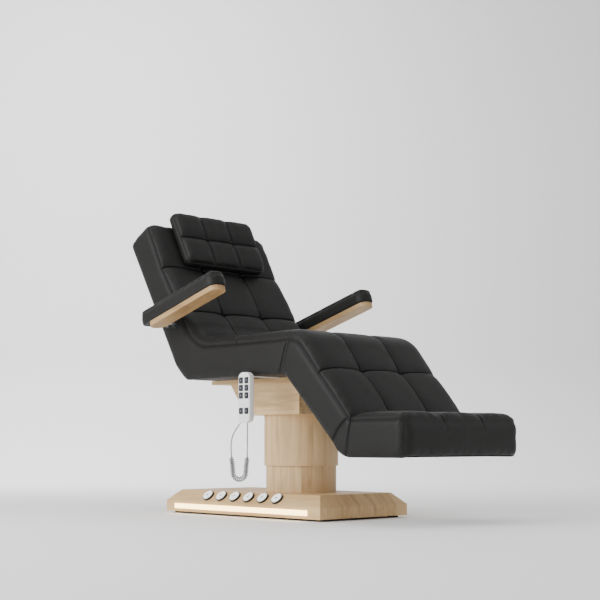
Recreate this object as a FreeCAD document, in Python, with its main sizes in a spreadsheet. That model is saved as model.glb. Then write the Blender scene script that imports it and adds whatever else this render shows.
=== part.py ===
import FreeCAD, Part
import math
import os
import Sketcher

# Electric beauty bed. Millimetres, Z up, floor at Z 0, foot end toward +X.
# The origin lies on the floor under the middle of the bed's length and width.

doc = FreeCAD.newDocument("beauty_bed")
sheet = doc.addObject("Spreadsheet::Sheet", "dims")

# Driving dimensions
driving = {
    "column_x": -66, "pad_half": 325, "crown": 26, "seat_crown": 32, "seat_rise": 14, "side_draw": 3,
    "corner_round": 24,
    "base_rear": 578, "base_front": 358, "base_half": 245, "base_gap": 8,
    "base_side_top": 53, "base_top": 98, "base_slope": 46, "base_wall": 14,
    "foot_radius": 22, "strip_rear": 521, "strip_front": 288, "strip_bottom": 21, "strip_high": 20,
    "key_first": -321, "key_pitch": 84, "key_radius": 25, "key_tilt": 44.4,
    "lower_radius": 143, "lower_wall": 12, "lower_top": 395,
    "sleeve_radius": 151, "sleeve_wall": 6.5, "sleeve_bottom": 205,
    "tube_side": 120, "tube_wall": 5, "tube_top": 430,
    "box_bottom": 409, "box_top": 540, "box_front": 161, "box_rear_low": 154, "box_rear_high": 254,
    "box_half": 165, "box_wall": 11, "plate_thick": 15, "plate_half": 175,
    "plate_rear": 366, "plate_front": 190,
    "seat_bottom": 555, "seat_top": 686, "pocket_top": 632, "pocket_half": 290,
    "back_axis_x": -353, "back_axis_z": 651, "back_angle": 62.4, "back_long": 622, "back_rear": 86,
    "axis_depth": 35, "back_row_one": 180, "back_row_two": 409, "back_bevel": 27.3,
    "leg_axis_x": 265, "leg_axis_z": 586, "leg_angle": 47.5, "leg_front": 100, "leg_rear": 20,
    "leg_row": 134, "knee_along": 384.7, "knee_out": 65, "knee_bevel": 15.4,
    "foot_long": 276, "foot_down": 100, "pillow_low": 413, "pillow_high": 667, "pillow_half": 206,
    "pillow_back": 62.5, "pillow_side": 100, "pillow_front": 120,
    "arm_along": 144.6, "arm_up": 10, "arm_pitch": 15.9, "arm_inner": 380, "arm_wide": 74,
    "arm_rear": 24, "arm_front": 415, "board_thick": 20, "arm_pad_thick": 52, "arm_crown": 12,
    "arm_pad_rear": 55, "arm_pad_front": 421, "arm_pad_over": 5,
    "rail_inner": 205, "rail_outer": 235, "pin_radius": 8, "run_gap": 0.03,
    "link_back": 25, "link_up": 5, "back_lever": 52, "leg_lever": 32,
    "set_left": 20, "set_wide": 66, "set_low": 374, "set_high": 569, "set_face": 357, "set_thick": 22,
    "set_round": 20, "cord_radius": 2.5, "curl_radius": 8, "curl_count": 25, "loop_bend": 26, "loop_low": 154,
}
for row, (alias, value) in enumerate(driving.items(), start=1):
    sheet.set("A%d" % row, alias)
    sheet.set("B%d" % row, str(value))
    sheet.setAlias("B%d" % row, alias)
doc.recompute()


class Size:
    # a length with the sheet expression that it comes from
    def __init__(self, text, value):
        self.text = text
        self.value = value

    def __add__(self, other):
        other = size(other)
        return Size("(%s + %s)" % (self.text, other.text), self.value + other.value)

    def __sub__(self, other):
        other = size(other)
        return Size("(%s - %s)" % (self.text, other.text), self.value - other.value)

    def __mul__(self, other):
        other = size(other)
        return Size("(%s * %s)" % (self.text, other.text), self.value * other.value)

    def __truediv__(self, other):
        other = size(other)
        return Size("(%s / %s)" % (self.text, other.text), self.value / other.value)

    def __radd__(self, other):
        return size(other) + self

    def __rsub__(self, other):
        return size(other) - self

    def __rmul__(self, other):
        return size(other) * self

    def __neg__(self):
        return Size("(-1 * %s)" % self.text, -self.value)


def size(value):
    return value if isinstance(value, Size) else Size("(%s)" % repr(float(value)), float(value))


def d(alias):
    return Size("dims.%s" % alias, float(driving[alias]))


def sine(angle):
    return Size("sin(%s * 1 deg)" % angle.text, math.sin(math.radians(angle.value)))


def cosine(angle):
    return Size("cos(%s * 1 deg)" % angle.text, math.cos(math.radians(angle.value)))


def bind(obj, prop, value):
    obj.setExpression(prop, size(value).text)


def place(obj, x=0, y=0, z=0, axis=None, angle=0):
    # the piece's place, and its turn about one axis
    if axis is not None:
        obj.Placement = FreeCAD.Placement(FreeCAD.Vector(), FreeCAD.Vector(*axis), size(angle).value)
        bind(obj, "Placement.Rotation.Angle", angle)
    for name, value in zip("xyz", (x, y, z)):
        bind(obj, "Placement.Base.%s" % name, value)
    return obj


def box(x0, x1, y0, y1, z0, z1):
    obj = doc.addObject("Part::Box", "block")
    bind(obj, "Length", size(x1) - x0)
    bind(obj, "Width", size(y1) - y0)
    bind(obj, "Height", size(z1) - z0)
    return place(obj, x0, y0, z0)


turns = {"x": ((0, 1, 0), 90), "y": ((1, 0, 0), -90), "z": (None, 0)}


def rod(radius, start, end, along, x=0, y=0, z=0):
    # a round bar along one axis, from start to end on that axis
    obj = doc.addObject("Part::Cylinder", "round")
    bind(obj, "Radius", radius)
    bind(obj, "Height", size(end) - start)
    spot = {"x": x, "y": y, "z": z}
    spot[along] = start
    axis, angle = turns[along]
    return place(obj, spot["x"], spot["y"], spot["z"], axis, angle)


def cone(radius_low, radius_high, start, end, x=0, y=0):
    obj = doc.addObject("Part::Cone", "taper")
    bind(obj, "Radius1", radius_low)
    bind(obj, "Radius2", radius_high)
    bind(obj, "Height", size(end) - start)
    return place(obj, x, y, start)


def fuse(pieces):
    obj = doc.addObject("Part::MultiFuse", "joined")
    obj.Shapes = pieces
    obj.Refine = True
    return obj


def cut(base, tools):
    obj = doc.addObject("Part::Cut", "cutout")
    obj.Base = base
    obj.Tool = tools[0] if len(tools) == 1 else fuse(tools)
    obj.Refine = True
    return obj


def common(pieces):
    obj = doc.addObject("Part::MultiCommon", "shared")
    obj.Shapes = pieces
    obj.Refine = True
    return obj


def group(pieces):
    obj = doc.addObject("Part::Compound", "set_of_solids")
    obj.Links = pieces
    return obj


def crown_radius(chord, rise):
    return (chord * chord / 4 + rise * rise) / (rise * 2)


def arc_of(start, end, radius, side):
    # the short arc from start to end, which swells to the left of its way when side is 1
    middle = (start + end) * 0.5
    way = end - start
    left = FreeCAD.Vector(-way.y, way.x, 0).normalize()
    drop = math.sqrt(max(radius ** 2 - way.Length ** 2 / 4, 0))
    center = middle - left * (drop * side)
    circle = Part.Circle(center, FreeCAD.Vector(0, 0, 1), radius)
    first = math.atan2(start.y - center.y, start.x - center.x)
    last = math.atan2(end.y - center.y, end.x - center.x)
    return Part.ArcOfCircle(circle, last, first) if side > 0 else Part.ArcOfCircle(circle, first, last)


def outline(sketch, points):
    # a closed outline: each point is (x, y) or, before an arc, (x, y, radius, side)
    spots = [FreeCAD.Vector(size(p[0]).value, size(p[1]).value, 0) for p in points]
    count = len(points)
    head = []
    tail = []
    for i, point in enumerate(points):
        start, end = spots[i], spots[(i + 1) % count]
        if len(point) == 4:
            sketch.addGeometry(arc_of(start, end, size(point[2]).value, point[3]), False)
            head.append(2 if point[3] > 0 else 1)
            tail.append(1 if point[3] > 0 else 2)
        else:
            sketch.addGeometry(Part.LineSegment(start, end), False)
            head.append(1)
            tail.append(2)
    for i, point in enumerate(points):
        after = (i + 1) % count
        sketch.addConstraint(Sketcher.Constraint("Coincident", i, tail[i], after, head[after]))
        for kind, value in (("DistanceX", point[0]), ("DistanceY", point[1])):
            value = size(value)
            index = sketch.addConstraint(Sketcher.Constraint(kind, -1, 1, i, head[i], value.value))
            sketch.setExpression("Constraints[%d]" % index, value.text)
        if len(point) == 4:
            index = sketch.addConstraint(Sketcher.Constraint("Radius", i, size(point[2]).value))
            sketch.setExpression("Constraints[%d]" % index, size(point[2]).text)


def prism(plane, points, width, center=0):
    # a body padded evenly both ways from a plane of its own, then moved by center across that plane
    body = doc.addObject("PartDesign::Body", "profile")
    sketch = body.newObject("Sketcher::SketchObject", "outline")
    support = [f for f in body.Origin.OriginFeatures if f.Role == plane][0]
    sketch.AttachmentSupport = [(support, "")]
    sketch.MapMode = "FlatFace"
    outline(sketch, points)
    pad = body.newObject("PartDesign::Pad", "pad")
    pad.Profile = sketch
    pad.SideType = "Symmetric"
    bind(pad, "Length", width)
    axis = {"XY_Plane": "z", "XZ_Plane": "y", "YZ_Plane": "x"}[plane]
    place(body, **{axis: center})
    return body


nodes = {}


def node(name, obj, x=0, y=0, z=0, axis=None, angle=0):
    # names a finished piece; its own place is measured from the column's axis
    obj.Label = name
    place(obj, d("column_x") + x, y, z, axis, angle)
    nodes[name] = obj


sides = {"right": -1, "left": 1}
turn_y = (0, 1, 0)


def rect(x0, x1, z0, z1):
    return [(x0, z0), (x1, z0), (x1, z1), (x0, z1)]


def across(bottom, seam, half, columns, crown, rise):
    # the section across a pad: drawn-in sides and one crowned channel for each column,
    # with the seams between the columns sewn higher than the edges by rise
    half = size(half)
    step = half * 2 / columns
    high = size(seam) - bottom
    points = [(-half, bottom), (half, bottom, crown_radius(high, d("side_draw")), 1)]
    for i in range(columns):
        level = size(seam) if i == 0 else seam + rise
        points.append((half - step * i, level, crown_radius(step, crown), -1))
    points.append((-half, seam, crown_radius(high, d("side_draw")), 1))
    return points


def plan(x0, x1, half, radius):
    # the outline from above, with rounded corners
    x0, x1, half, radius = size(x0), size(x1), size(half), size(radius)
    return [
        (x0 + radius, -half), (x1 - radius, -half, radius, -1), (x1, -half + radius),
        (x1, half - radius, radius, -1), (x1 - radius, half), (x0 + radius, half, radius, -1),
        (x0, half - radius), (x0, -half + radius, radius, -1),
    ]


def half_crown(run, rise):
    # the radius of an arc that starts level and drops by rise over run
    return (run * run + rise * rise) / (rise * 2)


# Base: plinth, frame, pads, light strips
rear, front, half = -d("base_rear"), d("base_front"), d("base_half")
gap, side_top, top = d("base_gap"), d("base_side_top"), d("base_top")
slope, wall = d("base_slope"), d("base_wall")


def tapered(inset, low):
    # the plinth's form: upright sides, then an even slope in to a flat top
    ease = inset * 0.41
    along = [
        (rear + inset, low), (front - inset, low), (front - inset, side_top - ease),
        (front - slope - ease, top - inset), (rear + slope + ease, top - inset),
        (rear + inset, side_top - ease),
    ]
    wide = [
        (-half + inset, low), (half - inset, low), (half - inset, side_top - ease),
        (half - slope - ease, top - inset), (-half + slope + ease, top - inset),
        (-half + inset, side_top - ease),
    ]
    return common([prism("XZ_Plane", along, half * 4), prism("YZ_Plane", wide, half * 10)])


key_y = -half + slope / 2
key_z = (side_top + top) / 2
key_spots = [d("key_first") + d("key_pitch") * i for i in range(6)]
strip_z = d("strip_bottom")
plinth_cuts = [tapered(wall, gap - 1), rod(125, 60, 120, "z")]
for sign in (-1, 1):
    inner, outer = sorted((sign * 237, sign * 260))
    plinth_cuts.append(box(-d("strip_rear") - 0.5, d("strip_front") + 0.5, inner, outer,
                           strip_z - 0.5, strip_z + d("strip_high") + 0.5))
for x in key_spots:
    plinth_cuts.append(place(group([rod(15.3, -40, 40, "z")]), x, key_y, key_z, (1, 0, 0), d("key_tilt")))
plinth_cuts.append(box(rear - 5, rear + wall + 5, -22.5, 22.5, 21.5, 48.5))
node("base_plinth", cut(tapered(size(0), gap), plinth_cuts))

tube = d("tube_side") / 2
hollow = tube - d("tube_wall")
ribs = [
    prism("XZ_Plane", [(tube - 1, 24), (tube + 90, 24), (tube - 1, 80)], 8),
    prism("XZ_Plane", [(-tube + 1, 24), (-tube + 1, 80), (-tube - 90, 24)], 8),
]
node("base_frame", cut(fuse([
    box(rear + 18, front - 18, -half + 19, half - 19, gap, gap + 6),
    box(-100, 100, -100, 100, gap + 6, gap + 16),
    box(-tube, tube, -tube, tube, gap + 6, d("tube_top")),
    *ribs,
]), [box(-hollow, hollow, -hollow, hollow, gap + 6, d("tube_top") + 10)]))

node("base_feet", group([
    fuse([rod(d("foot_radius"), 0, 5, "z", x, y), cone(d("foot_radius"), d("foot_radius") - 4, 5, gap, x, y)])
    for x in (rear + 40, front - 40) for y in (-half + 42, half - 42)
]))

node("led_strips", group([
    box(-d("strip_rear"), d("strip_front"), low, low + 9, strip_z, strip_z + d("strip_high"))
    for low in (-half - 1.5, half - 7.5)
]))

# Foot buttons on the near slope: black housings, white caps that press in
housings = []
for x in key_spots:
    housing = cut(fuse([rod(d("key_radius"), 0.2, 9, "z"), rod(15, -18, 1, "z")]),
                  [rod(d("key_radius") - 2.5, 2, 12, "z"), rod(6 + d("run_gap"), -20, 5, "z")])
    housings.append(place(housing, x, key_y, key_z, (1, 0, 0), d("key_tilt")))
node("foot_button_bezels", group(housings))
for i, x in enumerate(key_spots, start=1):
    cap = fuse([rod(d("key_radius") - 3, 5, 11, "z"), rod(6, -16, 6, "z")])
    node("foot_button_%d" % i, cap, x, key_y, key_z, (1, 0, 0), d("key_tilt"))

# Lifting column
node("column_lower_cover", cut(rod(d("lower_radius"), top, d("lower_top"), "z"),
                               [rod(d("lower_radius") - d("lower_wall"), top - 1, d("lower_top") + 1, "z")]))
node("column_upper_cover", cut(rod(d("sleeve_radius"), d("sleeve_bottom"), d("box_bottom"), "z"), [
    rod(d("sleeve_radius") - d("sleeve_wall"), d("sleeve_bottom") - 1, d("box_bottom") + 1, "z")]))
node("lift_actuator", cut(fuse([
    box(-44, 44, -44, 44, gap + 6, 92), rod(30, 90, 340, "z"), rod(34, 325, 340, "z"),
]), [rod(14 + d("run_gap"), 45, 350, "z")]))
node("lift_rod", fuse([rod(14, 145, d("box_top") - 4, "z"), rod(25, d("box_top") - 8, d("box_top"), "z")]))
slim = hollow - 0.2
node("column_inner_tube", cut(fuse([
    box(-slim, slim, -slim, slim, d("sleeve_bottom"), d("box_top")),
    box(-110, 110, -110, 110, d("box_top") - 8, d("box_top")),
]), [
    box(-slim + 4, slim - 4, -slim + 4, slim - 4, d("sleeve_bottom") - 1, d("box_top") - 8),
    rod(26, d("box_top") - 10, d("box_top") + 1, "z"),
]))
node("control_box", fuse([
    box(-480, -300, -100, 100, gap + 6, gap + 50), box(-490, -290, -110, 110, gap + 6, gap + 9),
]))
node("power_inlet", cut(fuse([
    box(rear - 2, rear, -28, 28, 17, 53), box(rear, rear + 42, -22, 22, 22, 48),
]), [box(rear - 3, rear + 20, -15, 15, 26, 44)]))

# Motor box and top plate
low, high = d("box_bottom"), d("box_top")
lean = (d("box_rear_high") - d("box_rear_low")) / (high - low)
skin = d("box_wall")


def box_outline(inset, z0, z1):
    tail = [-d("box_rear_low") - (z - low) * lean + inset for z in (z1, z0)]
    return [(tail[1], z0), (d("box_front") - inset, z0), (d("box_front") - inset, z1), (tail[0], z1)]


node("motor_box", cut(prism("XZ_Plane", box_outline(size(0), low, high), d("box_half") * 2), [
    prism("XZ_Plane", box_outline(skin, low + 12, high + 2), (d("box_half") - skin) * 2),
    rod(d("sleeve_radius") - d("sleeve_wall"), low - 5, low + 15, "z"),
]))
node("top_plate", prism("XY_Plane", plan(-d("plate_rear"), d("plate_front"), d("plate_half"), 8),
                        d("plate_thick")), 0, 0, high + d("plate_thick") / 2)

# Hinge lines
back_x, back_z, back_turn = d("back_axis_x"), d("back_axis_z"), d("back_angle")
leg_x, leg_z, leg_turn = d("leg_axis_x"), d("leg_axis_z"), d("leg_angle")
knee_x = leg_x + d("knee_along") * cosine(leg_turn) + d("knee_out") * sine(leg_turn)
knee_z = leg_z - d("knee_along") * sine(leg_turn) + d("knee_out") * cosine(leg_turn)
pocket, pin, gap_run = d("pocket_half"), d("pin_radius"), d("run_gap")
inner, outer, wide = d("rail_inner"), d("rail_outer"), d("pad_half")


def span(sign, near, far):
    near, far = size(near), size(far)
    return (near, far) if sign > 0 else (-far, -near)


def ear(points, hub_x, hub_z, radius, near, far):
    # flat plates with a round hub on the hinge line, one on each side
    made = []
    for sign in (-1, 1):
        y0, y1 = span(sign, near, far)
        made.append(prism("XZ_Plane", points, y1 - y0, (y0 + y1) / 2))
        made.append(rod(radius, y0, y1, "y", x=hub_x, z=hub_z))
    return made


def side_boxes(x0, x1, near, far, z0, z1):
    return [box(x0, x1, *span(sign, near, far), z0, z1) for sign in (-1, 1)]


def side_rods(radius, near, far, x, z):
    return [rod(radius, *span(sign, near, far), "y", x=x, z=z) for sign in (-1, 1)]


# Seat
seat_low, seat_high = d("seat_bottom"), d("seat_top")
link_x, link_z = leg_x - d("link_back"), leg_z + d("link_up")
node("seat_frame", cut(fuse([
    box(-335, 245, -pocket + 2, pocket - 2, seat_low, seat_low + 2.5),
    *side_boxes(-335, 245, inner, outer, seat_low + 2, seat_low + 45),
    box(-40, -10, -inner, inner, seat_low + 2, seat_low + 45),
    *ear([(-371, 643), (-334, 562), (-285, 598), (-334, 659)], back_x, back_z, 20, 214, 222),
    *ear([(244, 562), (266, 568), (262, 604), (244, 598)], leg_x, leg_z, 18, 214, 222),
    *side_rods(6, outer - 1, 252, link_x, link_z),
]), [*side_rods(pin + gap_run, 200, 230, back_x, back_z), *side_rods(pin + gap_run, 200, 230, leg_x, leg_z)]))

full = d("seat_crown") + d("seat_rise")
seat_end = back_x + d("back_bevel")
seat_top_points = [
    (back_x + 1, seat_low), (leg_x - 14.6, seat_low), (leg_x - 1, leg_z),
    (leg_x - 1, seat_high + full, half_crown(leg_x + 30, full), -1),
    (-31, seat_high, crown_radius(seat_end + 31, full), -1), (seat_end, seat_high), (back_x + 1, back_z),
]
node("seat_cushion", cut(common([
    prism("XZ_Plane", seat_top_points, wide * 3),
    prism("YZ_Plane", across(seat_low, seat_high, wide, 3, d("seat_crown"), d("seat_rise")), wide * 6),
]), [
    box(-380, 300, -pocket, pocket, seat_low - 5, d("pocket_top")),
    rod(26, -240, 240, "y", x=back_x, z=back_z), rod(26, -240, 240, "y", x=leg_x, z=leg_z),
    *side_boxes(-365, -305, 208, 228, 625, 664), box(-365, -312, -68, -42, 625, 664),
]))
node("seat_hinge_pins", group([
    *[fuse([a, b]) for x, z in ((back_x, back_z), (leg_x, leg_z)) for a, b in
      zip(side_rods(pin, 201, 224, x, z), side_rods(12, 223, 227, x, z))],
]))

# Back section, modelled lying flat from its hinge line
node("back_frame", cut(fuse([
    *ear([(8, -18), (-8, 18), (-95, -38), (-95, -72), (-60, -72)], size(0), size(0), 20, inner, 213),
    *side_boxes(-560, -70, inner, 240, -72, -38),
    box(-560, -530, -inner, inner, -70, -40), box(-330, -300, -inner, inner, -70, -40),
    rod(12, -inner, inner, "y"),
    prism("XZ_Plane", [(-14, -8), (10, 14), (38, -38), (26, -46)], 8, -55), rod(16, -59, -51, "y"),
    rod(9, -59, -51, "y", x=d("back_lever") * 0.6157, z=-d("back_lever") * 0.788),
    rod(5, -69, -41, "y", x=d("back_lever") * 0.6157, z=-d("back_lever") * 0.788),
    *side_boxes(-d("arm_along") - 20, -d("arm_along") + 20, 228, 240, -45, 26),
]), side_rods(pin + gap_run, 190, 230, 0, 0)), back_x, 0, back_z, turn_y, back_turn)
row_one, row_two, long = -d("back_row_one"), -d("back_row_two"), -d("back_long")
deep, face = d("back_rear"), d("axis_depth")
back_points = [
    (-1, 0), (-d("back_bevel"), face, crown_radius(row_one + d("back_bevel"), d("crown")), -1),
    (row_one, face, crown_radius(row_two - row_one, d("crown")), -1),
    (row_two, face, crown_radius(long - row_two, d("crown")), -1),
    (long, face), (long, -deep + 30, 30, -1), (long + 30, -deep), (-1, -deep),
]
node("back_cushion", cut(common([
    prism("XZ_Plane", back_points, wide * 3),
    prism("YZ_Plane", across(-deep, face, wide, 3, d("crown"), 0), wide * 6),
]), [
    box(long + 16, 5, -pocket, pocket, -deep - 5, -35),
    rod(26, -240, 240, "y"), *side_boxes(-110, 5, 200, 222, -60, 24),
    *side_boxes(-d("arm_along") - 26, -d("arm_along") + 26, 222, 262, -36, 31),
    *side_rods(8, 250, 340, -d("arm_along"), d("arm_up")),
]), back_x, 0, back_z, turn_y, back_turn)
node("back_rear_panel", group([prism("XY_Plane", plan(long + 18, -50, pocket - 3, 16), 4, -deep + 2)]),
     back_x, 0, back_z, turn_y, back_turn)
bolts = []
for sign in (-1, 1):
    runs = ((7, 240, d("arm_inner") + 42), (12, 240, 244), (13, wide + 4, d("arm_inner") - 7))
    bolts.append(fuse([
        rod(radius, *span(sign, near, far), "y", x=-d("arm_along"), z=d("arm_up"))
        for radius, near, far in runs
    ]))
node("arm_pivot_bolts", group(bolts), back_x, 0, back_z, turn_y, back_turn)

# Pillow on the back
low_u, high_u = -d("pillow_low"), -d("pillow_high")
mid_u = (low_u + high_u) / 2
puff = d("pillow_front") - d("pillow_side")
half_row = mid_u - low_u
third = d("pillow_half") * 2 / 3
pillow_wide = [(-d("pillow_half"), d("pillow_back")), (d("pillow_half"), d("pillow_back"))]
for i in range(3):
    pillow_wide.append((d("pillow_half") - third * i, d("pillow_side"), crown_radius(third, puff), -1))
pillow_wide.append((-d("pillow_half"), d("pillow_side")))
node("pillow_cushion", common([
    prism("XZ_Plane", [
        (low_u, d("pillow_back")), (low_u, d("pillow_side"), crown_radius(half_row, puff), -1),
        (mid_u, d("pillow_side"), crown_radius(half_row, puff), -1),
        (high_u, d("pillow_side")), (high_u, d("pillow_back")),
    ], wide * 3),
    prism("YZ_Plane", pillow_wide, wide * 6),
    prism("XY_Plane", plan(high_u, low_u, d("pillow_half"), 30), 200, 60),
]), back_x, 0, back_z, turn_y, back_turn)

# Armrests, modelled level from their pivots
arm_x = back_x - d("arm_along") * cosine(back_turn) + d("arm_up") * sine(back_turn)
arm_z = back_z + d("arm_along") * sine(back_turn) + d("arm_up") * cosine(back_turn)
arm_half, thick, pad_thick = d("arm_wide") / 2, d("board_thick") / 2, d("arm_pad_thick")
for side, sign in sides.items():
    middle = (d("arm_inner") + arm_half) * sign
    bolt = [rod(7 + gap_run, *span(sign, d("arm_inner") - 10, d("arm_inner") + 44), "y")]
    board = prism("XY_Plane", plan(-d("arm_rear"), d("arm_front"), arm_half, 30), thick * 2)
    place(board, 0, middle, 0)
    node("arm_%s_board" % side, cut(board, bolt), arm_x, 0, arm_z, turn_y, -d("arm_pitch"))
    reach, pad_top = arm_half + d("arm_pad_over"), thick + pad_thick
    pad_rear, pad_front = -d("arm_pad_rear"), d("arm_pad_front")
    pad = common([
        prism("XY_Plane", plan(pad_rear, pad_front, reach, 36), 240, 60),
        prism("YZ_Plane", [
            (-reach, thick), (reach, thick), (reach, pad_top - 20, 20, -1),
            (reach - 20, pad_top, crown_radius(reach * 2 - 40, d("arm_crown")), -1),
            (-reach + 20, pad_top, 20, -1), (-reach, pad_top - 20),
        ], 1400),
        prism("XZ_Plane", [
            (pad_rear, thick), (pad_front, thick), (pad_front, pad_top - 18, 30, -1),
            (pad_front - 30, pad_top + d("arm_crown")), (pad_rear + 30, pad_top + d("arm_crown"), 30, -1),
            (pad_rear, pad_top - 18),
        ], 1400),
    ])
    place(pad, 0, middle, 0)
    node("arm_%s_pad" % side, group([pad]), arm_x, 0, arm_z, turn_y, -d("arm_pitch"))

# Leg section, modelled level from its hinge line
leg_face, leg_low = d("leg_front"), -d("leg_rear")
knee_u, knee_v = d("knee_along"), d("knee_out")
node("leg_frame", cut(fuse([
    box(45, 372, -pocket + 2, pocket - 2, leg_low, leg_low + 2.5),
    *side_boxes(30, 372, inner, outer, leg_low + 2, 20),
    box(150, 180, -inner, inner, leg_low + 2, 18), box(335, 365, -inner, inner, leg_low + 2, 18),
    *ear([(-8, -14), (40, -17), (40, 19), (0, 15)], size(0), size(0), 18, inner, 213),
    rod(12, -inner, inner, "y"),
    prism("XZ_Plane", [(-12, -2), (12, 4), (-4, 32), (-21, 26)], 8, 55), rod(14, 51, 59, "y"),
    rod(8, 51, 59, "y", x=-d("leg_lever") * 0.4027, z=d("leg_lever") * 0.9153),
    rod(5, 42, 68, "y", x=-d("leg_lever") * 0.4027, z=d("leg_lever") * 0.9153),
    *ear([(330, 10), (371, 10), (395, 52), (376, 80)], knee_u, knee_v, 18, 214, 222),
    *side_rods(pin, 203, 234, knee_u, knee_v),
]), side_rods(pin + gap_run, 190, 230, 0, 0)), leg_x, 0, leg_z, turn_y, leg_turn)
leg_points = [
    (10, leg_low), (1, 0), (1, leg_face + full, half_crown(d("leg_row") - 1, full), 1),
    (d("leg_row"), leg_face, crown_radius(knee_u - d("knee_bevel") - 1 - d("leg_row"), d("crown")), 1),
    (knee_u - d("knee_bevel") - 1, leg_face), (knee_u - 1, knee_v), (knee_u - 1, leg_low),
]
node("leg_cushion", cut(common([
    prism("XZ_Plane", leg_points, wide * 3),
    prism("YZ_Plane", across(leg_low, leg_face, wide, 3, d("seat_crown"), d("seat_rise")), wide * 6),
]), [
    box(-5, 400, -pocket, pocket, leg_low - 5, 25),
    rod(26, -240, 240, "y"), rod(26, -240, 240, "y", x=knee_u, z=knee_v), box(-5, 26, 36, 74, 20, 62),
    *side_boxes(320, 400, 200, 256, 20, 88), *side_boxes(-5, 390, 238, 254, 20, 88),
]), leg_x, 0, leg_z, turn_y, leg_turn)

# Foot section, level from the knee hinge line
foot_long, foot_low = d("foot_long"), -d("foot_down")
node("foot_frame", cut(fuse([
    box(25, 245, -pocket + 2, pocket - 2, foot_low, foot_low + 2.5),
    *side_boxes(30, 240, inner, outer, foot_low + 2, -60), box(150, 180, -inner, inner, foot_low + 2, -62),
    *ear([(-10, -14), (30, -97), (72, -62), (12, 12)], size(0), size(0), 18, inner, 213),
    *ear([(-10, -14), (30, -97), (72, -62), (12, 12)], size(0), size(0), 18, 224, 232),
    *ear([(-25, -6), (0, -16), (0, 16), (-25, 16)], -d("link_back"), d("link_up"), 11, 224, 232),
    *side_rods(6, 231, 252, -d("link_back"), d("link_up")),
]), side_rods(pin + gap_run, 190, 240, 0, 0)), knee_x, 0, knee_z)
bevel, corner = d("knee_bevel") + 1, d("corner_round")
node("foot_cushion", cut(common([
    prism("XZ_Plane", [
        (1, foot_low), (foot_long, foot_low),
        (foot_long, face, crown_radius(foot_long - bevel, d("crown")), -1), (bevel, face), (1, 0),
    ], wide * 3),
    prism("YZ_Plane", across(foot_low, face, wide, 3, d("crown"), 0), wide * 6),
    prism("XY_Plane", [
        (-60, -wide), (foot_long - corner, -wide, corner, -1), (foot_long, -wide + corner),
        (foot_long, wide - corner, corner, -1), (foot_long - corner, wide), (-60, wide),
    ], 400),
]), [
    box(-5, foot_long - 14, -pocket, pocket, foot_low - 5, -55),
    rod(26, -256, 256, "y"), *side_boxes(-5, 80, 200, 256, -60, 24),
]), knee_x, 0, knee_z)

# Links that keep the foot section level
link_run = Size("sqrt(dims.knee_along ^ 2 + dims.knee_out ^ 2)", math.hypot(knee_u.value, knee_v.value))
link_fall = leg_turn - Size("atan(dims.knee_out / dims.knee_along) / 1 deg",
                            math.degrees(math.atan2(knee_v.value, knee_u.value)))
links = []
for sign in (-1, 1):
    y0, y1 = span(sign, 240, 246)
    bar = [box(0, link_run, y0, y1, -8, 8), rod(11, y0, y1, "y"), rod(11, y0, y1, "y", x=link_run)]
    eyes = [rod(6 + gap_run, y0 - 1, y1 + 1, "y", x=x) for x in (0, link_run)]
    links.append(cut(fuse(bar), eyes))
node("level_links", group(links), link_x, 0, link_z, turn_y, link_fall)

# Actuators in the seat
back_rod_z = back_z - 46
back_end = back_x - d("back_lever") * 0.4147
node("back_actuator", cut(fuse([
    rod(20, -230, -40, "x", y=-55, z=back_rod_z), box(-115, -48, -82, -28, 578, 629),
    rod(23, -230, -215, "x", y=-55, z=back_rod_z),
]), [rod(10 + gap_run, -240, -120, "x", y=-55, z=back_rod_z)]))
fork_z = back_rod_z - 0.5
node("back_actuator_rod", cut(fuse([
    rod(10, -340, -180, "x", y=-55, z=back_rod_z),
    box(back_end - 13, -338, -68, -42, fork_z - 17, fork_z + 17),
]), [
    box(back_end - 20, -345, -61, -49, fork_z - 20, fork_z + 20),
    box(back_end - 8.5, back_end + 8.5, -75, -35, fork_z - 13, fork_z + 13),
]))
leg_rod_z = leg_z + d("leg_lever") * 0.9153 + 1
leg_end = leg_x + d("leg_lever") * 0.4027
node("leg_actuator", cut(fuse([
    rod(15, -10, 170, "x", y=55, z=leg_rod_z - 2), box(-8, 60, 32, 78, 578, 628),
]), [rod(8 + gap_run, 70, 180, "x", y=55, z=leg_rod_z - 2)]))
node("leg_actuator_rod", cut(fuse([
    rod(8, 112, 248, "x", y=55, z=leg_rod_z - 2),
    box(245, leg_end + 11, 43, 67, leg_rod_z - 14, leg_rod_z + 11),
]), [
    box(251, leg_end + 20, 49.5, 60.5, leg_rod_z - 20, leg_rod_z + 20),
    box(leg_end - 7, leg_end + 7, 35, 75, leg_rod_z - 9, leg_rod_z + 8),
]))

# Soft gussets sewn in at the bends
def gusset(name, x, z, points, hollow):
    node(name, cut(prism("XZ_Plane", points, wide * 2), [rod(hollow, -pocket, pocket, "y")]), x, 0, z)


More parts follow.
